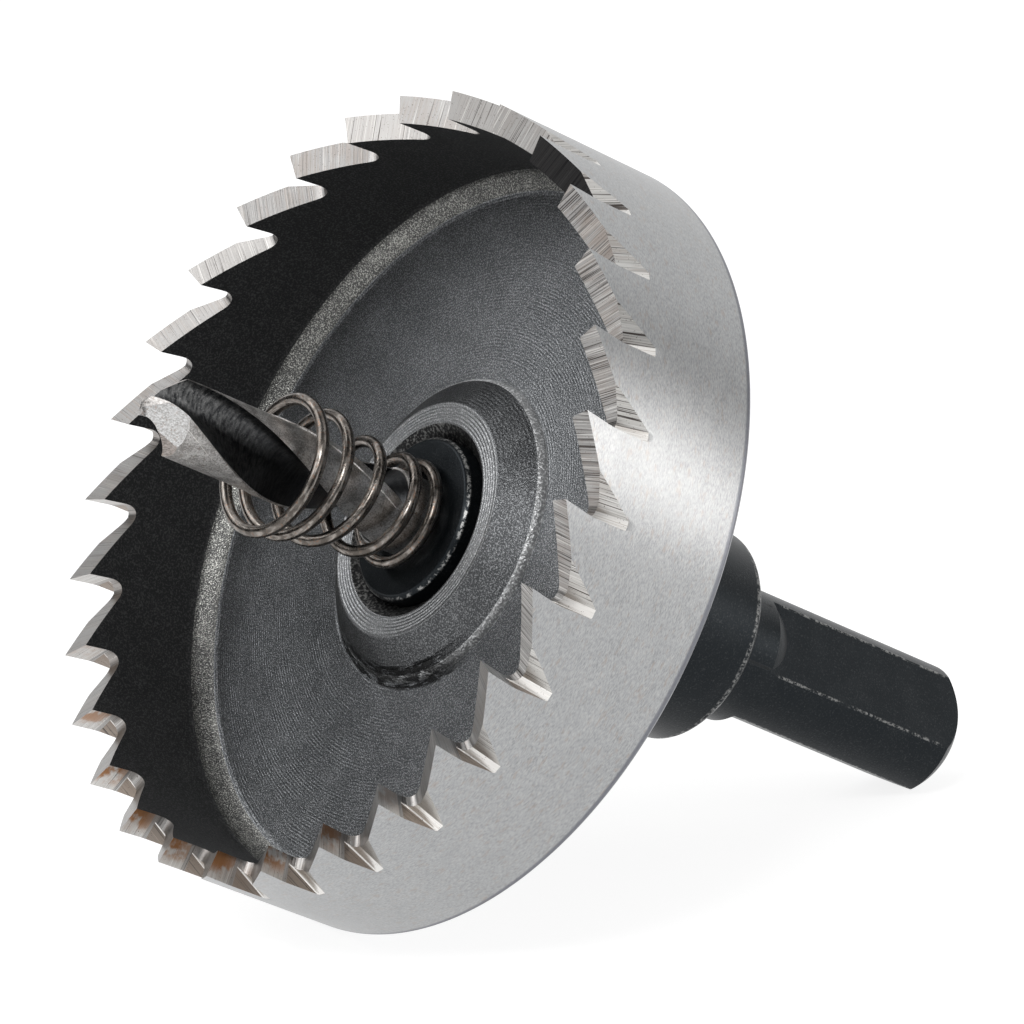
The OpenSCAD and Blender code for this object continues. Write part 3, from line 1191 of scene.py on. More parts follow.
@dataclass
class CutterCup:
    """One-piece toothed cup with its hub, ground gullets and turned floor.

    The blank stands spare above the tooth tips, and its wall is divided into
    rings over the toothed length.  An ease is how far the rounding of a corner
    reaches along its sides.
    """

    placement: Placement
    radius: float = 32.5
    height: float = 16.3
    wall: float = 2.2
    floor: float = 3.5
    band: float = 1.4
    band_eases: tuple[float, float] = (0.55, 0.6)
    rim_bevel: float = 0.4
    rim_eases: tuple[float, float] = (0.08, 0.12)
    bore: float = 6.9
    hub_height: float = 6.25
    ring_radius: float = 9.85
    ring_ease: float = 0.14
    foot_radius: float = 12.75
    foot_step: float = 0.45
    foot_eases: tuple[float, float] = (0.05, 0.38)
    foot_bevel: tuple[float, float] = (0.36, 0.286)
    sink_radius: float = 8.1
    sink_ease: float = 0.1
    grooves: int = 5
    groove_depth: float = 0.07
    groove_ease: float = 0.04
    groove_share: float = 0.9
    ring_margins: tuple[float, float] = (0.22, 0.13)
    teeth: Teeth = Teeth()
    straight: StraightGash = StraightGash()
    slanted: SlantedGash = SlantedGash()
    gash_sets: int = 3
    root_steps: int = 10
    spare: float = 0.4
    segments: int = 464
    toothed: float = 8.0
    rings: int = 8
    # Tooth whose back facet carries the painted dark reflection.
    dark_reflection_tooth_number: int = 26
    finishes: dict[CupZone, Finish] = field(default_factory=dict)

    def __post_init__(self) -> None:
        """Chooses the finish of each surface."""
        self.finishes = {**self.turned_finishes(), **self.ground_finishes()}

    def turned_finishes(self) -> dict[CupZone, Finish]:
        """Finishes of the surfaces that were turned.

        Returns:
            A finish for each of their zones.
        """
        foot = self.foot_radius
        return {
            CupZone.WALL: SatinWall(),
            CupZone.REAR: SatinWall(
                name="rear_face", grain_mm=0.15, grain_length_mm=3.0, rear_rim_dark_share=0.3, faced=True,
            ),
            CupZone.INNER: BlackenedSteel(
                name="inner_wall", tone=(0.011, 0.0115, 0.012), speck=(0.1, 0.1, 0.1), speck_mm=0.16,
                speck_share=0.5, line_share=0.05, metal=0.2, rough=0.6, line_depth=0.0, across_height=True,
            ),
            CupZone.BAND: BlackenedSteel(
                name="bevel_band", tone=(0.07, 0.07, 0.069), speck=(0.6, 0.6, 0.56),
                speck_share=0.6, speck_mm=0.115, line_share=0.05, rough=0.32, speck_depth=0.05,
                line_depth=0.0, blotch_share=0.6,
            ),
            CupZone.FLOOR: BlackenedSteel(
                name="turned_floor", tone=(0.112, 0.118, 0.124), speck=(0.48, 0.49, 0.505),
                torn_shade_band=(foot - 0.15, foot + 0.55),
            ),
            CupZone.HUB: BlackenedSteel(
                name="hub_flank", tone=(0.06, 0.062, 0.065), speck=(0.36, 0.37, 0.38),
                speck_share=0.5, line_share=0.1, rough=0.38, speck_depth=0.045,
                torn_shade_band=(foot - 0.9, foot + 0.25),
            ),
            # The foot's pale tone and bright specks are a painted highlight along the rim of its step.
            CupZone.FOOT: BlackenedSteel(
                name="hub_foot_painted_highlight", tone=(0.3, 0.305, 0.31), speck=(0.88, 0.89, 0.9),
                speck_share=0.8, speck_mm=0.2, line_share=0.0, metal=0.3, rough=0.3, speck_depth=0.1,
                line_depth=0.0, blotch_share=0.8, torn_shade_band=(foot - 0.9, foot + 0.55),
            ),
            CupZone.SINK: BlackenedSteel(
                name="hub_sink", tone=(0.02, 0.02, 0.021), speck=(0.3, 0.3, 0.29),
                speck_share=0.5, speck_mm=0.25, line_share=0.0, rough=0.5, line_depth=0.0,
            ),
            CupZone.RING: BlackenedSteel(
                name="ring_face", tone=(0.18, 0.185, 0.19), speck=(0.55, 0.56, 0.57),
                speck_share=0.7, line_share=0.2, rough=0.4, line_depth=0.015,
            ),
        }

    def ground_finishes(self) -> dict[CupZone, Finish]:
        """Finishes of the surfaces that the grinding wheel left.

        Returns:
            A finish for each of their zones.
        """
        return {
            # The rake, outer and outer-root faces are lighter copies of the same ground steel: their raised
            # tones are painted highlight.
            CupZone.RAKE: GroundSteel(
                name="ground_rake", tone=(0.6, 0.585, 0.565), bright=(0.9, 0.885, 0.86), burn_share=0.95,
            ),
            CupZone.BACK: GroundSteel(name="ground_back", early_deg=0.0, dark_reflection_tooth=self.dark_reflection_tooth_number),
            CupZone.ROOT: GroundSteel(name="ground_root"),
            CupZone.OUTER: GroundSteel(
                name="ground_outer", grind=Grind.SLANTED, tone=(0.55, 0.54, 0.52), stain_share=0.25,
            ),
            CupZone.OUTER_ROOT: GroundSteel(
                name="ground_outer_root", grind=Grind.SLANTED, tone=(0.85, 0.83, 0.8),
                dark=(0.6, 0.56, 0.52), stain_share=0.1, rough=0.25,
            ),
            CupZone.OUTER_SIDE: GroundSteel(
                name="ground_outer_side", grind=Grind.SLANTED, tone=(0.32, 0.27, 0.23),
                bright=(0.5, 0.45, 0.4), stain_share=0.6, rough=0.4,
            ),
        }

    def rim(self) -> list[Corner]:
        """Corners of the wall, from the bore's rear edge to the toothed length's inner end.

        Returns:
            The corners in order.
        """
        inner = self.radius - self.wall
        top = self.height + self.spare
        heights = [self.height - self.toothed * (1.0 - i / self.rings) for i in range(self.rings)]
        return [
            Corner(self.bore, 0.0, CupZone.REAR),
            Corner(self.radius - self.rim_bevel, 0.0, CupZone.WALL, self.rim_eases[0]),
            Corner(self.radius, self.rim_bevel, CupZone.WALL, self.rim_eases[1]),
            *[Corner(self.radius, height, CupZone.WALL) for height in heights],
            Corner(self.radius, top, CupZone.WALL),
            Corner(inner, top, CupZone.INNER),
            *[Corner(inner, height, CupZone.INNER) for height in reversed(heights)],
        ]

    def hollow(self) -> list[Corner]:
        """Corners of the floor and of the hub's foot and flank.

        Returns:
            The corners in order.
        """
        inner = self.radius - self.wall
        step = self.floor + self.foot_step
        return [
            Corner(inner, self.floor + self.band, CupZone.BAND, self.band_eases[0]),
            Corner(inner - self.band, self.floor, CupZone.FLOOR, self.band_eases[1]),
            Corner(self.foot_radius, self.floor, CupZone.FOOT, self.foot_eases[0]),
            Corner(self.foot_radius, step, CupZone.FOOT, self.foot_eases[1]),
            Corner(self.foot_radius - self.foot_bevel[0], step + self.foot_bevel[1], CupZone.HUB),
            Corner(self.ring_radius, self.hub_height, CupZone.RING, self.ring_ease),
        ]

    def ring(self) -> list[Corner]:
        """Corners of the hub's ring face with its grooves, and of the countersink.

        Returns:
            The corners in order.
        """
        top = self.hub_height
        outer, inner = self.ring_margins
        width = (self.ring_radius - self.sink_radius - outer - inner) / self.grooves
        across = self.groove_share * width
        corners = []
        for i in range(self.grooves):
            start = self.ring_radius - outer - i * width
            corners += [
                Corner(start, top, CupZone.RING),
                Corner(start - across / 2.0, top - self.groove_depth, CupZone.RING, self.groove_ease),
                Corner(start - across, top, CupZone.RING),
            ]
        return corners + [
            Corner(self.sink_radius, top, CupZone.SINK, self.sink_ease),
            Corner(self.bore, top - (self.sink_radius - self.bore), CupZone.SINK),
        ]

    @property
    def pitch(self) -> float:
        """Straight distance from one tooth's radial plane to the next tip."""
        return self.radius * math.sin(math.radians(self.teeth.pitch_deg))

    def gash_root(self) -> tuple[Vector, float]:
        """Sharp root of the straight gash and the reach of its rounding.

        Returns:
            The root as seen from the tooth tip, and the tangent length.
        """
        rake_deg, back_deg = self.straight.rake_deg, self.straight.back_deg
        half = math.radians(90.0 - rake_deg - back_deg) / 2.0
        depth = self.pitch * math.sin(math.radians(back_deg)) / math.sin(2.0 * half)
        return direction(90.0 - rake_deg) * -depth, self.straight.root / math.tan(half)

    def wedge(self, points: list[Vector], reach: float, length: float) -> bmesh.types.BMesh:
        """Wedge-shaped cutter that stands along Z, with its first corner rounded.

        Args:
            points: corners of its section, anticlockwise.
            reach: reach of the rounding of the first corner.
            length: length of the cutter.

        Returns:
            The cutter, centred on the origin in Z.
        """
        bm = bmesh.new()
        verts = [bm.verts.new((p.x, p.y, -length / 2.0)) for p in points]
        for pair in zip(verts, verts[1:] + verts[:1]):
            bm.edges.new(pair)
        round_off(bm, [verts[0]], reach, self.root_steps)
        bmesh.ops.contextual_create(bm, geom=bm.edges[:])
        grown = bmesh.ops.extrude_face_region(bm, geom=bm.faces[:])
        moved = [g for g in grown["geom"] if isinstance(g, bmesh.types.BMVert)]
        bmesh.ops.translate(bm, verts=moved, vec=(0.0, 0.0, length))
        bmesh.ops.recalc_face_normals(bm, faces=bm.faces[:])
        return bm

    def label(self, bm: bmesh.types.BMesh, sides: list[tuple[Vector, CupZone]], other: CupZone) -> None:
        """Gives a cutter's faces the finish that they leave behind.

        Args:
            bm: the cutter before it is placed.
            sides: directions of the flat sides in the section, with their zones.
            other: zone of the rounded root.
        """
        for face in bm.faces:
            face.material_index = other
            outwards = face.normal.xy
            upright = outwards.length > 0.9
            for way, zone in sides:
                if upright and abs(outwards.dot(way.normalized())) < 0.02:
                    face.material_index = zone

    def straight_gash(self) -> bmesh.types.BMesh:
        """Cutter of one straight gash.

        Returns:
            The cutter, with its origin at the tooth tip.
        """
        gash = self.straight
        root, reach = self.gash_root()
        rake, back = direction(90.0 - gash.rake_deg), direction(gash.back_deg)
        top = rake * (gash.above / rake.y)
        far = root + back * ((self.pitch + gash.past - root.x) / back.x)
        lid = top + Vector((0.0, gash.lid))
        bm = self.wedge([root, far, lid, top], reach, gash.length)
        self.label(bm, [(rake, CupZone.RAKE), (back, CupZone.BACK)], CupZone.ROOT)
        laid = Matrix(((0.0, 0.0, 1.0), (1.0, 0.0, 0.0), (0.0, 1.0, 0.0)))
        rotate(bm, about("Y", -gash.fall_deg, 3) @ laid)
        return bm

    def slanted_gash(self) -> bmesh.types.BMesh:
        """Cutter of the slanted gash, ended where the straight gash's back begins.

        Returns:
            The cutter, with its origin at the tooth tip.
        """
        gash = self.slanted
        root, reach = self.gash_root()
        tangent = root + direction(90.0 - self.straight.rake_deg) * reach
        steep = direction(gash.open_deg)
        lip = Vector((0.0, gash.flat))
        section = [Vector((0.0, 0.0)), Vector((gash.reach, 0.0)), lip + steep * (gash.reach / steep.x), lip]
        bm = self.wedge(section, gash.ease, gash.length)
        sides = [(Vector((1.0, 0.0)), CupZone.OUTER_SIDE), (steep, CupZone.OUTER)]
        self.label(bm, sides, CupZone.OUTER_ROOT)
        rotate(bm, about("Y", -gash.lean_deg, 3))
        shift(bm, (0.0, tangent.x - gash.inset, -gash.depth))
        slope = math.radians(self.straight.back_deg)
        cut = bmesh.ops.bisect_plane(
            bm, geom=bm.verts[:] + bm.edges[:] + bm.faces[:], dist=1e-6, clear_outer=True,
            plane_co=(0.0, 0.0, tangent.y - gash.under_back),
            plane_no=(0.0, -math.sin(slope), math.cos(slope)),
        )
        rim = [g for g in cut["geom_cut"] if isinstance(g, bmesh.types.BMEdge)]
        bmesh.ops.holes_fill(bm, edges=rim, sides=0)
        bmesh.ops.recalc_face_normals(bm, faces=bm.faces[:])
        return bm

    def round_set(self, cutter: bmesh.types.BMesh, start: int) -> bmesh.types.BMesh:
        """Repeats a cutter round the rim, at the teeth of one set.

        Args:
            cutter: one cutter with its origin at a tooth tip.
            start: first tooth of the set.

        Returns:
            One bmesh with all the copies.
        """
        more = len(range(start, self.teeth.count, self.gash_sets)) - 1
        pitch = math.tau / self.teeth.count
        shift(cutter, (self.radius, 0.0, self.height))
        rotate(cutter, Matrix.Rotation(math.radians(self.teeth.phase_deg) + start * pitch, 3, "Z"))
        whole = cutter.verts[:] + cutter.edges[:] + cutter.faces[:]
        sweep(cutter, whole, self.gash_sets * pitch * more, more, copies=True)
        return cutter

    def build(self) -> bpy.types.Object:
        """Models the cup, cuts its teeth and lays it down.

        Returns:
            The finished piece.
        """
        dressed = [self.finishes[zone].material(self.placement) for zone in CupZone]
        profile = self.rim() + self.hollow() + self.ring()
        blank = as_mesh(turned(profile, self.segments), "cup_blank", dressed)
        cutters = []
        for make in (self.straight_gash, self.slanted_gash):
            for start in range(self.gash_sets):
                cutters.append((as_mesh(self.round_set(make(), start), "gash", dressed), "DIFFERENCE"))
        return finished(carved(blank, cutters), "toothed_cup", self.placement, "cutter_cup")


@dataclass
class Arbor:
    """Nose, collar and three-flat shank in one turned piece.

    Overlap is how far the shank's bar starts behind the collar's end and the
    body's stub ends behind the neck.  The sizes named after the cutter are
    those of the blocks that leave the flats.
    """

    placement: Placement
    nose_radius: float = 6.85
    nose_height: float = 6.7
    nose_bevel: float = 0.35
    nose_eases: tuple[float, float] = (0.1, 0.08)
    collar_radius: float = 9.05
    collar_length: float = 23.4
    collar_bevel: float = 0.6
    collar_ease: float = 0.2
    shank_radius: float = 5.75
    shank_ease: float = 0.25
    flat_distance: float = 4.75
    flat_angles: tuple[float, ...] = (60.0, 180.0, 300.0)
    neck_length: float = 4.2
    run_out: float = 5.9
    run_out_length: float = 1.0
    shank_end: float = 50.4
    end_radius: float = 3.7
    end_round: float = 7.0
    end_steps: int = 14
    overlap: tuple[float, float] = (0.2, 0.5)
    bore: float = 3.29
    bore_depth: float = 19.0
    bore_ease: float = 0.15
    screw_z: float = 11.5
    screw_bore: float = 3.05
    screw_hole: tuple[float, float] = (0.5, 12.5)
    cutter_spare: float = 2.0
    cutter_half_width: float = 7.0
    cutter_depth: float = 4.0
    segments: int = 192
    ball_rings: int = 96
    hole_segments: int = 96

    @property
    def neck_end(self) -> float:
        """Distance from the cup's rear face to the end of the round neck."""
        return self.collar_length + self.neck_length

    def finish(self) -> Finish:
        """Black oxide that is bright along this arbor's edges, partly rubbed through and partly painted
        highlight.

        Returns:
            The finish.
        """
        edges = ArborEdges(
            collar_end=-self.collar_length, collar_radius=self.collar_radius,
            shank_radius=self.shank_radius, flat_distance=self.flat_distance,
            flat_angles=self.flat_angles, flats_start=-self.neck_end - self.run_out_length,
            nose_radius=self.nose_radius, nose_height=self.nose_height,
        )
        return BlackOxide(edges=edges)

    def body(self) -> bmesh.types.BMesh:
        """Nose and collar with the bore for the drill, and a stub inside the shank.

        Returns:
            The turned body.
        """
        stub = -self.neck_end - self.overlap[1]
        corners = [
            Corner(0.0, -self.bore_depth),
            Corner(self.bore, -self.bore_depth),
            Corner(self.bore, self.nose_height, 0, self.bore_ease),
            Corner(self.nose_radius - self.nose_bevel, self.nose_height, 0, self.nose_eases[0]),
            Corner(self.nose_radius, self.nose_height - self.nose_bevel, 0, self.nose_eases[1]),
            Corner(self.nose_radius, 0.0),
            Corner(self.collar_radius, 0.0),
            Corner(self.collar_radius, self.collar_bevel - self.collar_length, 0, self.collar_ease),
            Corner(self.collar_radius - self.collar_bevel, -self.collar_length, 0, self.collar_ease),
            Corner(self.shank_radius, -self.collar_length, 0, self.shank_ease),
            Corner(self.shank_radius, stub),
            Corner(0.0, stub),
        ]
        return turned(corners, self.segments, closed=False)

    def bar(self) -> bmesh.types.BMesh:
        """Round bar of the shank with its rounded end.

        Returns:
            The turned bar.
        """
        top = -self.collar_length - self.overlap[0]
        centre = -(self.shank_end - math.sqrt(self.end_round**2 - self.end_radius**2))
        start = math.asin(self.end_radius / self.end_round)
        stop = math.asin(self.shank_radius / self.end_round)
        corners = [Corner(0.0, -self.shank_end)]
        for i in range(self.end_steps + 1):
            angle = start + (stop - start) * i / self.end_steps
            r, z = self.end_round * math.sin(angle), centre - self.end_round * math.cos(angle)
            corners.append(Corner(r, z))
        corners += [Corner(self.shank_radius, top), Corner(0.0, top)]
        return turned(corners, self.segments, closed=False)

    def shank(self) -> bpy.types.Mesh:
        """Shank with its flats and their ball-shaped run-outs.

        Returns:
            The mesh of the shank.
        """
        ball_z = -self.neck_end + math.sqrt(self.run_out**2 - self.shank_radius**2)
        ball = bmesh.new()
        bmesh.ops.create_uvsphere(
            ball, u_segments=self.segments, v_segments=self.ball_rings, radius=self.run_out
        )
        shift(ball, (0.0, 0.0, ball_z))
        run_out = as_mesh(ball, "run_out")
        low = Vector((self.flat_distance, -self.cutter_half_width, -self.shank_end - self.cutter_spare))
        high = Vector((self.flat_distance + self.cutter_depth, self.cutter_half_width, ball_z))
        tools = []
        for angle in self.flat_angles:
            side = as_mesh(block(low, high, about("Z", angle)), "flat")
            tools.append((carved(side, [(run_out.copy(), "DIFFERENCE")]), "DIFFERENCE"))
        return carved(as_mesh(self.bar(), "bar"), tools)

    def build(self) -> bpy.types.Object:
        """Models the arbor and lays it down.

        Returns:
            The finished piece.
        """
        start, end = self.screw_hole
        hole = rod(self.screw_bore, -end, -start, self.hole_segments)
        rotate(hole, about("X", 90.0, 3))
        shift(hole, (0.0, 0.0, -self.screw_z))
        tools = [(self.shank(), "UNION"), (as_mesh(hole, "screw_hole"), "DIFFERENCE")]
        mesh = carved(as_mesh(self.body(), "arbor_body"), tools)
        dress(mesh, self.finish().material(self.placement))
        return finished(mesh, "three_flat_arbor", self.placement, "arbor")


class DrillZone(IntEnum):
    """Surfaces of the drill, each with its own finish."""

    BODY = 0
    FLANK = 1
    HEEL = 2
    NOTCH = 3


@dataclass(frozen=True)
class PointCut:
    """A block-shaped cut at the drill's point: where its corner lies and how it is turned."""

    zone: DrillZone
    corner: Triple
    turns: tuple[tuple[str, float], ...]
    low: Triple
    high: Triple

    def place(self) -> Matrix:
        """Place of the cut, seen from the drill's tip.

        Returns:
            The matrix that lays the block.
        """
        place = Matrix.Translation(self.corner)
        for axis, angle in self.turns:
            place = place @ about(axis, angle)
        return place


@dataclass
class PilotDrill:
    """Twist drill with margins, ground point and plain shank.

    The flute's centre is given in shares of the radius.  Spare and base sizes
    are how far a body that is cut or joined reaches beyond the drill.
    """

    placement: Placement
    radius: float = 3.25
    land_radius: float = 3.23
    tip: float = 33.8
    held: float = 19.0
    held_ease: float = 0.3
    flute_start: float = 9.5
    flute_centre: tuple[float, float] = (0.12, 0.7)
    flute_spare: tuple[float, float] = (0.6, 0.5)
    core_length: float = 2.6
    core_edge: float = 0.1
    lead: float = 44.0
    web: float = 0.75
    point_deg: float = 118.0
    point_spare: tuple[float, float] = (0.6, 0.36)
    point_base: float = 2.0
    turn_deg: float = -92.0
    relief: float = 0.09
    margin_deg: float = 15.0
    margin_step: float = 0.02
    steps: int = 150
    flute_steps: int = 26
    body_steps: int = 22
    margin_steps: int = 5
    segments: int = 96
    heel: PointCut = PointCut(
        DrillZone.HEEL, (0.1, -0.7, -0.5), (("Z", -66.5), ("Y", 50.0)), (-5.0, -5.0, 0.0), (5.0, 5.0, 5.0),
    )
    notch: PointCut = PointCut(
        DrillZone.NOTCH, (0.1, 0.12, -0.35), (("X", -32.0), ("Y", -28.0)), (-4.0, 0.0, 0.0), (0.0, 4.0, 4.0),
    )
    finishes: dict[DrillZone, Finish] = field(default_factory=dict)

    def __post_init__(self) -> None:
        """Chooses the finish of each surface."""
        self.finishes = {
            DrillZone.BODY: DrillSteel(land_radius=self.land_radius),
            DrillZone.FLANK: PointSteel(name="drill_flank"),
            # The heel and notch are shaded and lit copies of the point's ground steel: the heel's darker tone
            # is painted shade and the notch's lighter tone is painted highlight.
            DrillZone.HEEL: PointSteel(name="drill_heel_painted_shade", tone=(0.42, 0.38, 0.355), dark=(0.16, 0.14, 0.13)),
            DrillZone.NOTCH: PointSteel(name="drill_notch_painted_highlight", tone=(0.72, 0.72, 0.72), dark=(0.34, 0.33, 0.32)),
        }

    @property
    def point_height(self) -> float:
        """Height of the drill's point."""
        return self.radius / math.tan(math.radians(self.point_deg / 2.0))

    @property
    def lip_angle(self) -> float:
        """Angle of the cutting lip's outer end from the section's first axis."""
        return math.asin(self.web / self.land_radius)

    def section(self) -> bmesh.types.BMesh:
        """Outline of the fluted length: two lands with margins and two flutes.

        Returns:
            The closed outline, flat at height 0.
        """
        bm = bmesh.new()
        across_share, up_share = self.flute_centre
        centre = Vector((across_share * self.radius, up_share * self.radius, 0.0))
        hollow = centre.y - self.web
        body = self.land_radius - self.relief
        across = centre.length
        opening = math.acos((across**2 + body**2 - hollow**2) / (2.0 * across * body))
        heel = math.atan2(centre.y, centre.x) + opening
        flute_end = math.atan2(body * math.sin(heel) - centre.y, body * math.cos(heel) - centre.x)
        lip = bm.verts.new((self.land_radius * math.cos(self.lip_angle), self.web, 0.0))
        foot = bm.verts.new((centre.x, self.web, 0.0))
        bm.edges.new((lip, foot))
        flute_turn = math.radians(270.0) - flute_end
        last = sweep(bm, [foot], flute_turn, self.flute_steps, centre, (0.0, 0.0, -1.0))[0]
        margin = math.pi + self.lip_angle - math.radians(self.margin_deg)
        edge = sweep(bm, [last], margin - heel, self.body_steps)[0]
        rise = margin + self.margin_step
        step = bm.verts.new((self.land_radius * math.cos(rise), self.land_radius * math.sin(rise), 0.0))
        bm.edges.new((edge, step))
        sweep(bm, [step], math.pi + self.lip_angle - rise, self.margin_steps)
        sweep(bm, bm.verts[:] + bm.edges[:], math.pi, 1, copies=True)
        bmesh.ops.remove_doubles(bm, verts=bm.verts[:], dist=1e-4)
        return bm

    def fluted(self) -> bmesh.types.BMesh:
        """Fluted length, a little longer than the finished drill.

        Returns:
            The closed body of the flutes and lands.
        """
        bm = self.section()
        low = self.flute_start - self.flute_spare[0]
        length = self.tip + self.flute_spare[1] - low
        corner_z = self.tip - self.point_height
        start = math.radians(self.turn_deg) + math.tau * (low - corner_z) / self.lead
        rotate(bm, Matrix.Rotation(start, 3, "Z"))
        shift(bm, (0.0, 0.0, low))
        twist = math.tau * length / self.lead
        sweep(bm, bm.verts[:] + bm.edges[:], twist, self.steps, rise=length / self.steps)
        rims = [e for e in bm.edges if len(e.link_faces) == 1]
        bmesh.ops.holes_fill(bm, edges=rims, sides=0)
        heal(bm)
        return bm

    def point_cuts(self) -> list[tuple[bpy.types.Mesh, str]]:
        """Cutters that thin the web and lower the rear of each flank of the point.

        Returns:
            The cutters with their Boolean operation.
        """
        at_tip = Matrix.Translation((0.0, 0.0, self.tip))
        lip = Matrix.Rotation(self.lip_angle, 4, "Z")
        cuts = []
        for side in (0.0, math.pi):
            whole = Matrix.Rotation(math.radians(self.turn_deg) + side, 4, "Z") @ at_tip
            for cut, place in ((self.notch, lip @ self.notch.place()), (self.heel, self.heel.place())):
                cutter = block(Vector(cut.low), Vector(cut.high), whole @ place)
                for face in cutter.faces:
                    face.material_index = cut.zone
                cuts.append((as_mesh(cutter, "point_cut"), "DIFFERENCE"))
        return cuts

    def point(self) -> bmesh.types.BMesh:
        """Cone of the point, wide enough to leave the flutes' sides alone.

        Returns:
            The body that the fluted length is kept inside of.
        """
        shoulder = self.tip - self.point_height
        wide, drop = self.point_spare
        base = self.flute_start - self.point_base
        corners = [
            Corner(0.0, self.tip, DrillZone.FLANK),
            Corner(self.radius, shoulder, DrillZone.FLANK),
            Corner(self.radius + wide, shoulder - drop),
            Corner(self.radius + wide, base),
            Corner(0.0, base),
        ]
        return turned(corners, self.segments, closed=False)

    def shank(self) -> bmesh.types.BMesh:
        """Plain shank, with the core that runs into the flutes.

        Returns:
            The turned shank.
        """
        core = self.flute_start + self.core_length
        corners = [
            Corner(0.0, core),
            Corner(self.web, core),
            Corner(self.land_radius - self.core_edge, self.flute_start),
            Corner(self.radius, self.flute_start),
            Corner(self.radius, -self.held, 0, self.held_ease),
            Corner(0.0, -self.held),
        ]
        return turned(corners, self.segments, closed=False)

    def build(self) -> bpy.types.Object:
        """Models the drill and lays it down.

        Returns:
            The finished piece.
        """
        dressed = [self.finishes[zone].material(self.placement) for zone in DrillZone]
        fluted = as_mesh(self.fluted(), "fluted", dressed)
        tools = [
            (as_mesh(self.point(), "point", dressed), "INTERSECT"),
            *self.point_cuts(),
            (as_mesh(self.shank(), "shank", dressed), "UNION"),
        ]
        return finished(carved(fluted, tools), "twist_drill", self.placement, "pilot_drill")


@dataclass
class EjectorSpring:
    """Conical left-hand spring round the drill, with its front coils sagging.

    The tables give, over the turns from the nose, the share of the length, of
    the widening and of the sag that the wire has reached.
    """

    placement: Placement
    wire: float = 1.0
    wire_ease: float = 0.09
    wire_ease_steps: int = 2
    sharp_deg: float = 40.0
    length: float = 14.4
    small: float = 4.25
    large: float = 5.3
    sag: float = 0.12
    shift: float = 0.36
    lean: float = 0.28
    start: float = 0.7
    turns: float = 5.05
    nose: float = 6.7
    per_turn: int = 60
    sides: int = 20
    rise: Table = (
        (0.7, 0.0), (1.5, 0.06), (2.0, 0.165), (3.0, 0.455), (3.5, 0.645),
        (4.0, 0.765), (4.5, 0.86), (5.0, 0.99), (6.0, 1.0),
    )
    widen: Table = (
        (0.7, 0.0), (2.0, -0.05), (3.0, 0.1), (3.5, 0.6), (4.5, 1.1), (5.25, 1.0), (5.75, 2.0),
    )
    loosen: Table = ((0.0, 0.0), (1.3, 0.0), (3.0, 1.0), (6.0, 1.0))
    finish: Finish = SpringWire()

    @staticmethod
    def lookup(turn: float, rows: Table) -> float:
        """Value between the points of a table.

        Args:
            turn: turns from the nose.
            rows: turns and values, in order.

        Returns:
            The value at that turn.
        """
        turn = min(max(turn, rows[0][0]), rows[-1][0])
        for (a, first), (b, second) in zip(rows, rows[1:]):
            if turn <= b:
                return first + (second - first) * (turn - a) / (b - a)
        return rows[-1][1]

    def place(self, turn: float) -> Vector:
        """Middle of the wire.

        Args:
            turn: turns from the nose.

        Returns:
            The point, in tool millimetres.
        """
        radius = self.small + (self.large - self.small) * self.lookup(turn, self.widen)
        loose = self.lookup(turn, self.loosen)
        angle = -math.tau * turn
        rise = self.wire / 2.0 + (self.length - self.wire) * self.lookup(turn, self.rise)
        x = radius * math.cos(angle) - self.sag * loose
        y = radius * math.sin(angle) - self.shift * loose
        return Vector((x, y, self.nose + rise + self.lean * loose * math.sin(angle)))

    def smooth_place(self, turn: float) -> Vector:
        """Middle of the wire, averaged over a twelfth of a turn."""
        spots = [self.place(turn + i / self.per_turn) for i in (-2, -1, 0, 1, 2)]
        return sum(spots, Vector()) / len(spots)

    def frame_at(self, turn: float, step: float = 0.004) -> Matrix:
        """Frame that is square to the wire.

        Args:
            turn: turns from the nose.
            step: turns to each side between which the wire's direction is taken.

        Returns:
            The matrix that lays the wire's section there.
        """
        tangent = (self.smooth_place(turn + step) - self.smooth_place(turn - step)).normalized()
        side = Vector(TOOL_AXIS).cross(tangent).normalized()
        axes = Matrix((side, tangent.cross(side), tangent)).transposed()
        return Matrix.Translation(self.smooth_place(turn)) @ axes.to_4x4()

    def build(self) -> bpy.types.Object:
        """Draws the wire along its coil and lays it down.

        Returns:
            The finished piece.
        """
        bm = bmesh.new()
        bmesh.ops.create_circle(bm, cap_ends=True, segments=self.sides, radius=self.wire / 2.0)
        before = self.frame_at(self.start)
        bmesh.ops.transform(bm, matrix=before, verts=bm.verts[:])
        face = bm.faces[:]
        count = round(self.turns * self.per_turn)
        for i in range(1, count + 1):
            grown = bmesh.ops.extrude_face_region(bm, geom=face)
            ring = [g for g in grown["geom"] if isinstance(g, bmesh.types.BMVert)]
            inner, face = face, [g for g in grown["geom"] if isinstance(g, bmesh.types.BMFace)]
            if i > 1:
                bmesh.ops.delete(bm, geom=inner, context="FACES_ONLY")
            after = self.frame_at(self.start + self.turns * i / count)
            bmesh.ops.transform(bm, matrix=after @ before.inverted(), verts=ring)
            before = after
        ends = [f for f in bm.faces if len(f.verts) > 4]
        round_off(bm, [e for f in ends for e in f.edges], self.wire_ease, self.wire_ease_steps, "EDGES")
        heal(bm)
        mesh = as_mesh(bm, "spring", [self.finish.material(self.placement)])
        return finished(
            mesh, "conical_spring", self.placement, "ejector_spring", self.sharp_deg
        )


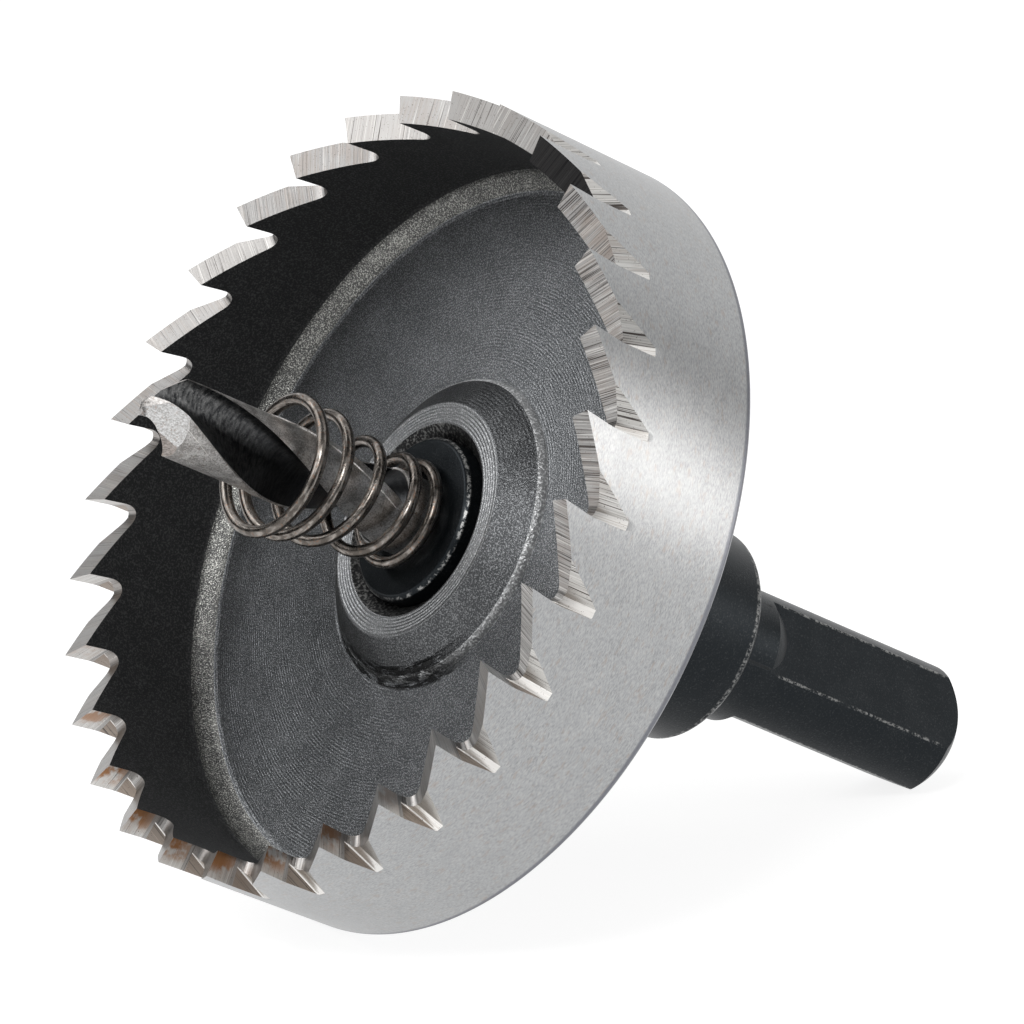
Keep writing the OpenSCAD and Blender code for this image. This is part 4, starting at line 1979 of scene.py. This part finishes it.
@dataclass
class GrubScrew:
    """Set screw with a hex socket that holds the drill."""

    placement: Placement
    radius: float = 3.0
    axis_z: float = -11.5
    tip_y: float = 2.85
    tip_cone: float = 1.0
    face_y: float = 8.45
    face_bevel: float = 0.35
    eases: tuple[float, float] = (0.1, 0.08)
    hex_size: float = 3.0
    socket: float = 2.4
    socket_spare: float = 1.0
    socket_sides: int = 6
    segments: int = 96
    finish: Finish = BlackOxide(name="screw_oxide")

    def build(self) -> bpy.types.Object:
        """Models the screw and lays it down.

        Returns:
            The finished piece.
        """
        length = self.face_y - self.tip_y
        tip_ease, face_ease = self.eases
        corners = [
            Corner(0.0, 0.0),
            Corner(self.radius - self.tip_cone, 0.0, 0, tip_ease),
            Corner(self.radius, self.tip_cone, 0, tip_ease),
            Corner(self.radius, length - self.face_bevel, 0, face_ease),
            Corner(self.radius - self.face_bevel, length, 0, face_ease),
            Corner(0.0, length),
        ]
        body = as_mesh(turned(corners, self.segments, closed=False), "screw")
        top = length + self.socket_spare
        socket = rod(self.hex_size / math.sqrt(3.0), length - self.socket, top, self.socket_sides)
        mesh = carved(body, [(as_mesh(socket, "socket"), "DIFFERENCE")])
        mesh.transform(Matrix.Translation((0.0, self.tip_y, self.axis_z)) @ about("X", -90.0))
        dress(mesh, self.finish.material(self.placement))
        return finished(mesh, "set_screw", self.placement, "grub_screw")


# Studio


def hang(made: bpy.types.Object, place: Triple, target: Vector) -> None:
    """Puts a lamp or card in its place, so that it faces a point.

    Args:
        made: the lamp or card.
        place: where it hangs, in metres.
        target: the point, in metres.
    """
    made.location = place
    made.rotation_euler = (target - Vector(place)).to_track_quat("-Z", "Y").to_euler()
    bpy.context.scene.collection.objects.link(made)


@dataclass(frozen=True)
class Softbox:
    """A rectangular soft light."""

    name: str
    place: Triple
    size: tuple[float, float]
    power: float
    colour: Colour = WHITE

    def build(self, target: Vector) -> None:
        """Hangs the light so that it faces a point.

        Args:
            target: the point, in metres.
        """
        lamp = bpy.data.lights.new(self.name, "AREA")
        lamp.shape = "RECTANGLE"
        lamp.size, lamp.size_y = self.size
        lamp.energy = self.power
        lamp.color = self.colour
        hang(bpy.data.objects.new(self.name, lamp), self.place, target)


@dataclass(frozen=True)
class Flag:
    """A dark card beside the table that only reflections see."""

    name: str
    place: Triple
    size: tuple[float, float]
    tone: float = 0.02

    def build(self, target: Vector) -> None:
        """Hangs the card so that it faces a point.

        Args:
            target: the point, in metres.
        """
        bm = bmesh.new()
        bmesh.ops.create_grid(bm, x_segments=1, y_segments=1, size=0.5)
        bmesh.ops.scale(bm, verts=bm.verts[:], vec=(*self.size, 1.0))
        material = bpy.data.materials.new(self.name)
        material.use_nodes = True
        graph = Graph(material.node_tree)
        graph.end(graph.glow(self.tone))
        made = bpy.data.objects.new(self.name, as_mesh(bm, self.name, [material]))
        hang(made, self.place, target)
        made.visible_camera = False
        made.visible_diffuse = False
        made.visible_shadow = False


@dataclass
class Studio:
    """White table and surround, soft lights and the camera."""

    eye: Triple = (-0.248794, -0.386156, 0.146170)
    right: Triple = (0.838638, -0.543168, -0.040678)
    up: Triple = (0.166794, 0.184997, 0.968481)
    lens: float = 207.008
    sensor: float = 36.0
    clip: tuple[float, float] = (0.01, 20.0)
    target: Triple = (0.0, 0.0, 0.03)
    surround: float = 0.4
    table_half: float = 3.0
    table_glow: float = 0.86
    table_tone: float = 0.35
    lights: tuple[Softbox, ...] = (
        Softbox("back_box", (-0.40, 0.40, 0.58), (0.55, 0.5), 1.85),
        Softbox("crown_box", (-0.60, 0.0, 0.58), (0.34, 0.3), 0.6),
        Softbox("side_strip", (0.60, -0.58, 0.11), (0.14, 0.6), 1.5, (1.0, 0.975, 0.95)),
        Softbox("front_box", (-0.36, -0.34, 0.52), (0.16, 0.16), 1.5),
    )
    flags: tuple[Flag, ...] = (
        Flag("back_flag", (-0.44, 0.76, 0.36), (1.0, 0.7)),
        Flag("camera_flag", (-0.50, -0.80, 0.34), (1.0, 0.6)),
        Flag("top_flag", (-0.2, -0.1, 0.95), (0.8, 0.8)),
        Flag("side_flag", (0.80, -0.28, 0.40), (0.3, 0.5), 0.35),
    )

    def camera(self) -> None:
        """Sets up the camera at the photograph's viewing angle."""
        lens = bpy.data.cameras.new("camera")
        lens.lens = self.lens
        lens.sensor_width = self.sensor
        lens.clip_start, lens.clip_end = self.clip
        right, up = Vector(self.right), Vector(self.up)
        axes = Matrix((right, up, right.cross(up))).transposed()
        made = bpy.data.objects.new("camera", lens)
        made.matrix_world = Matrix.Translation(self.eye) @ axes.to_4x4()
        bpy.context.scene.collection.objects.link(made)
        bpy.context.scene.camera = made

    def seen_white(self, graph: Graph) -> Term:
        """Mask of the rays that see the background, directly or in a reflection.

        Args:
            graph: the shader's graph.

        Returns:
            1 for those rays and 0 for the light that falls on the object.
        """
        path = graph.node("ShaderNodeLightPath")
        direct = Term(graph, path.outputs["Is Camera Ray"])
        mirror = Term(graph, path.outputs["Is Glossy Ray"])
        through = Term(graph, path.outputs["Is Transmission Ray"])
        return direct.most(mirror).most(through)

    def world(self) -> None:
        """Sets a white surround that lights the object softly."""
        scene = bpy.context.scene
        scene.world = bpy.data.worlds.new("surround")
        scene.world.use_nodes = True
        graph = Graph(scene.world.node_tree)
        strength = self.seen_white(graph) * (1.0 - self.surround) + self.surround
        back = graph.node("ShaderNodeBackground", None, {"Color": WHITE, "Strength": strength})
        graph.node("ShaderNodeOutputWorld", None, {"Surface": back.outputs[0]})

    def table(self) -> None:
        """Makes the white table top, which keeps the object's shadow."""
        bm = bmesh.new()
        bmesh.ops.create_grid(bm, x_segments=2, y_segments=2, size=self.table_half)
        material = bpy.data.materials.new("white_table")
        material.use_nodes = True
        graph = Graph(material.node_tree)
        glow = graph.glow(self.seen_white(graph) * self.table_glow)
        matt = graph.node("ShaderNodeBsdfDiffuse", None, {"Color": (self.table_tone,) * 3})
        graph.end(graph.node("ShaderNodeAddShader", None, {0: glow.outputs[0], 1: matt.outputs[0]}))
        made = bpy.data.objects.new("table_top", as_mesh(bm, "table_top", [material]))
        bpy.context.scene.collection.objects.link(made)

    def build(self) -> None:
        """Sets up the whole studio."""
        bpy.context.scene.view_settings.view_transform = "Standard"
        self.camera()
        self.world()
        self.table()
        for thing in (*self.lights, *self.flags):
            thing.build(Vector(self.target))
        LOG.info("studio: %d lights and %d flags", len(self.lights), len(self.flags))


def main() -> None:
    """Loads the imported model, builds each piece round it and sets up the studio."""
    logging.basicConfig(level=logging.INFO, format="%(name)s %(message)s")
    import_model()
    placement = Placement()
    Studio().build()
    builders: list[Callable[[], bpy.types.Object]] = [
        CutterCup(placement).build,
        Arbor(placement).build,
        PilotDrill(placement).build,
        EjectorSpring(placement).build,
        GrubScrew(placement).build,
    ]
    for build in builders:
        build()


if __name__ == "__main__":
    main()
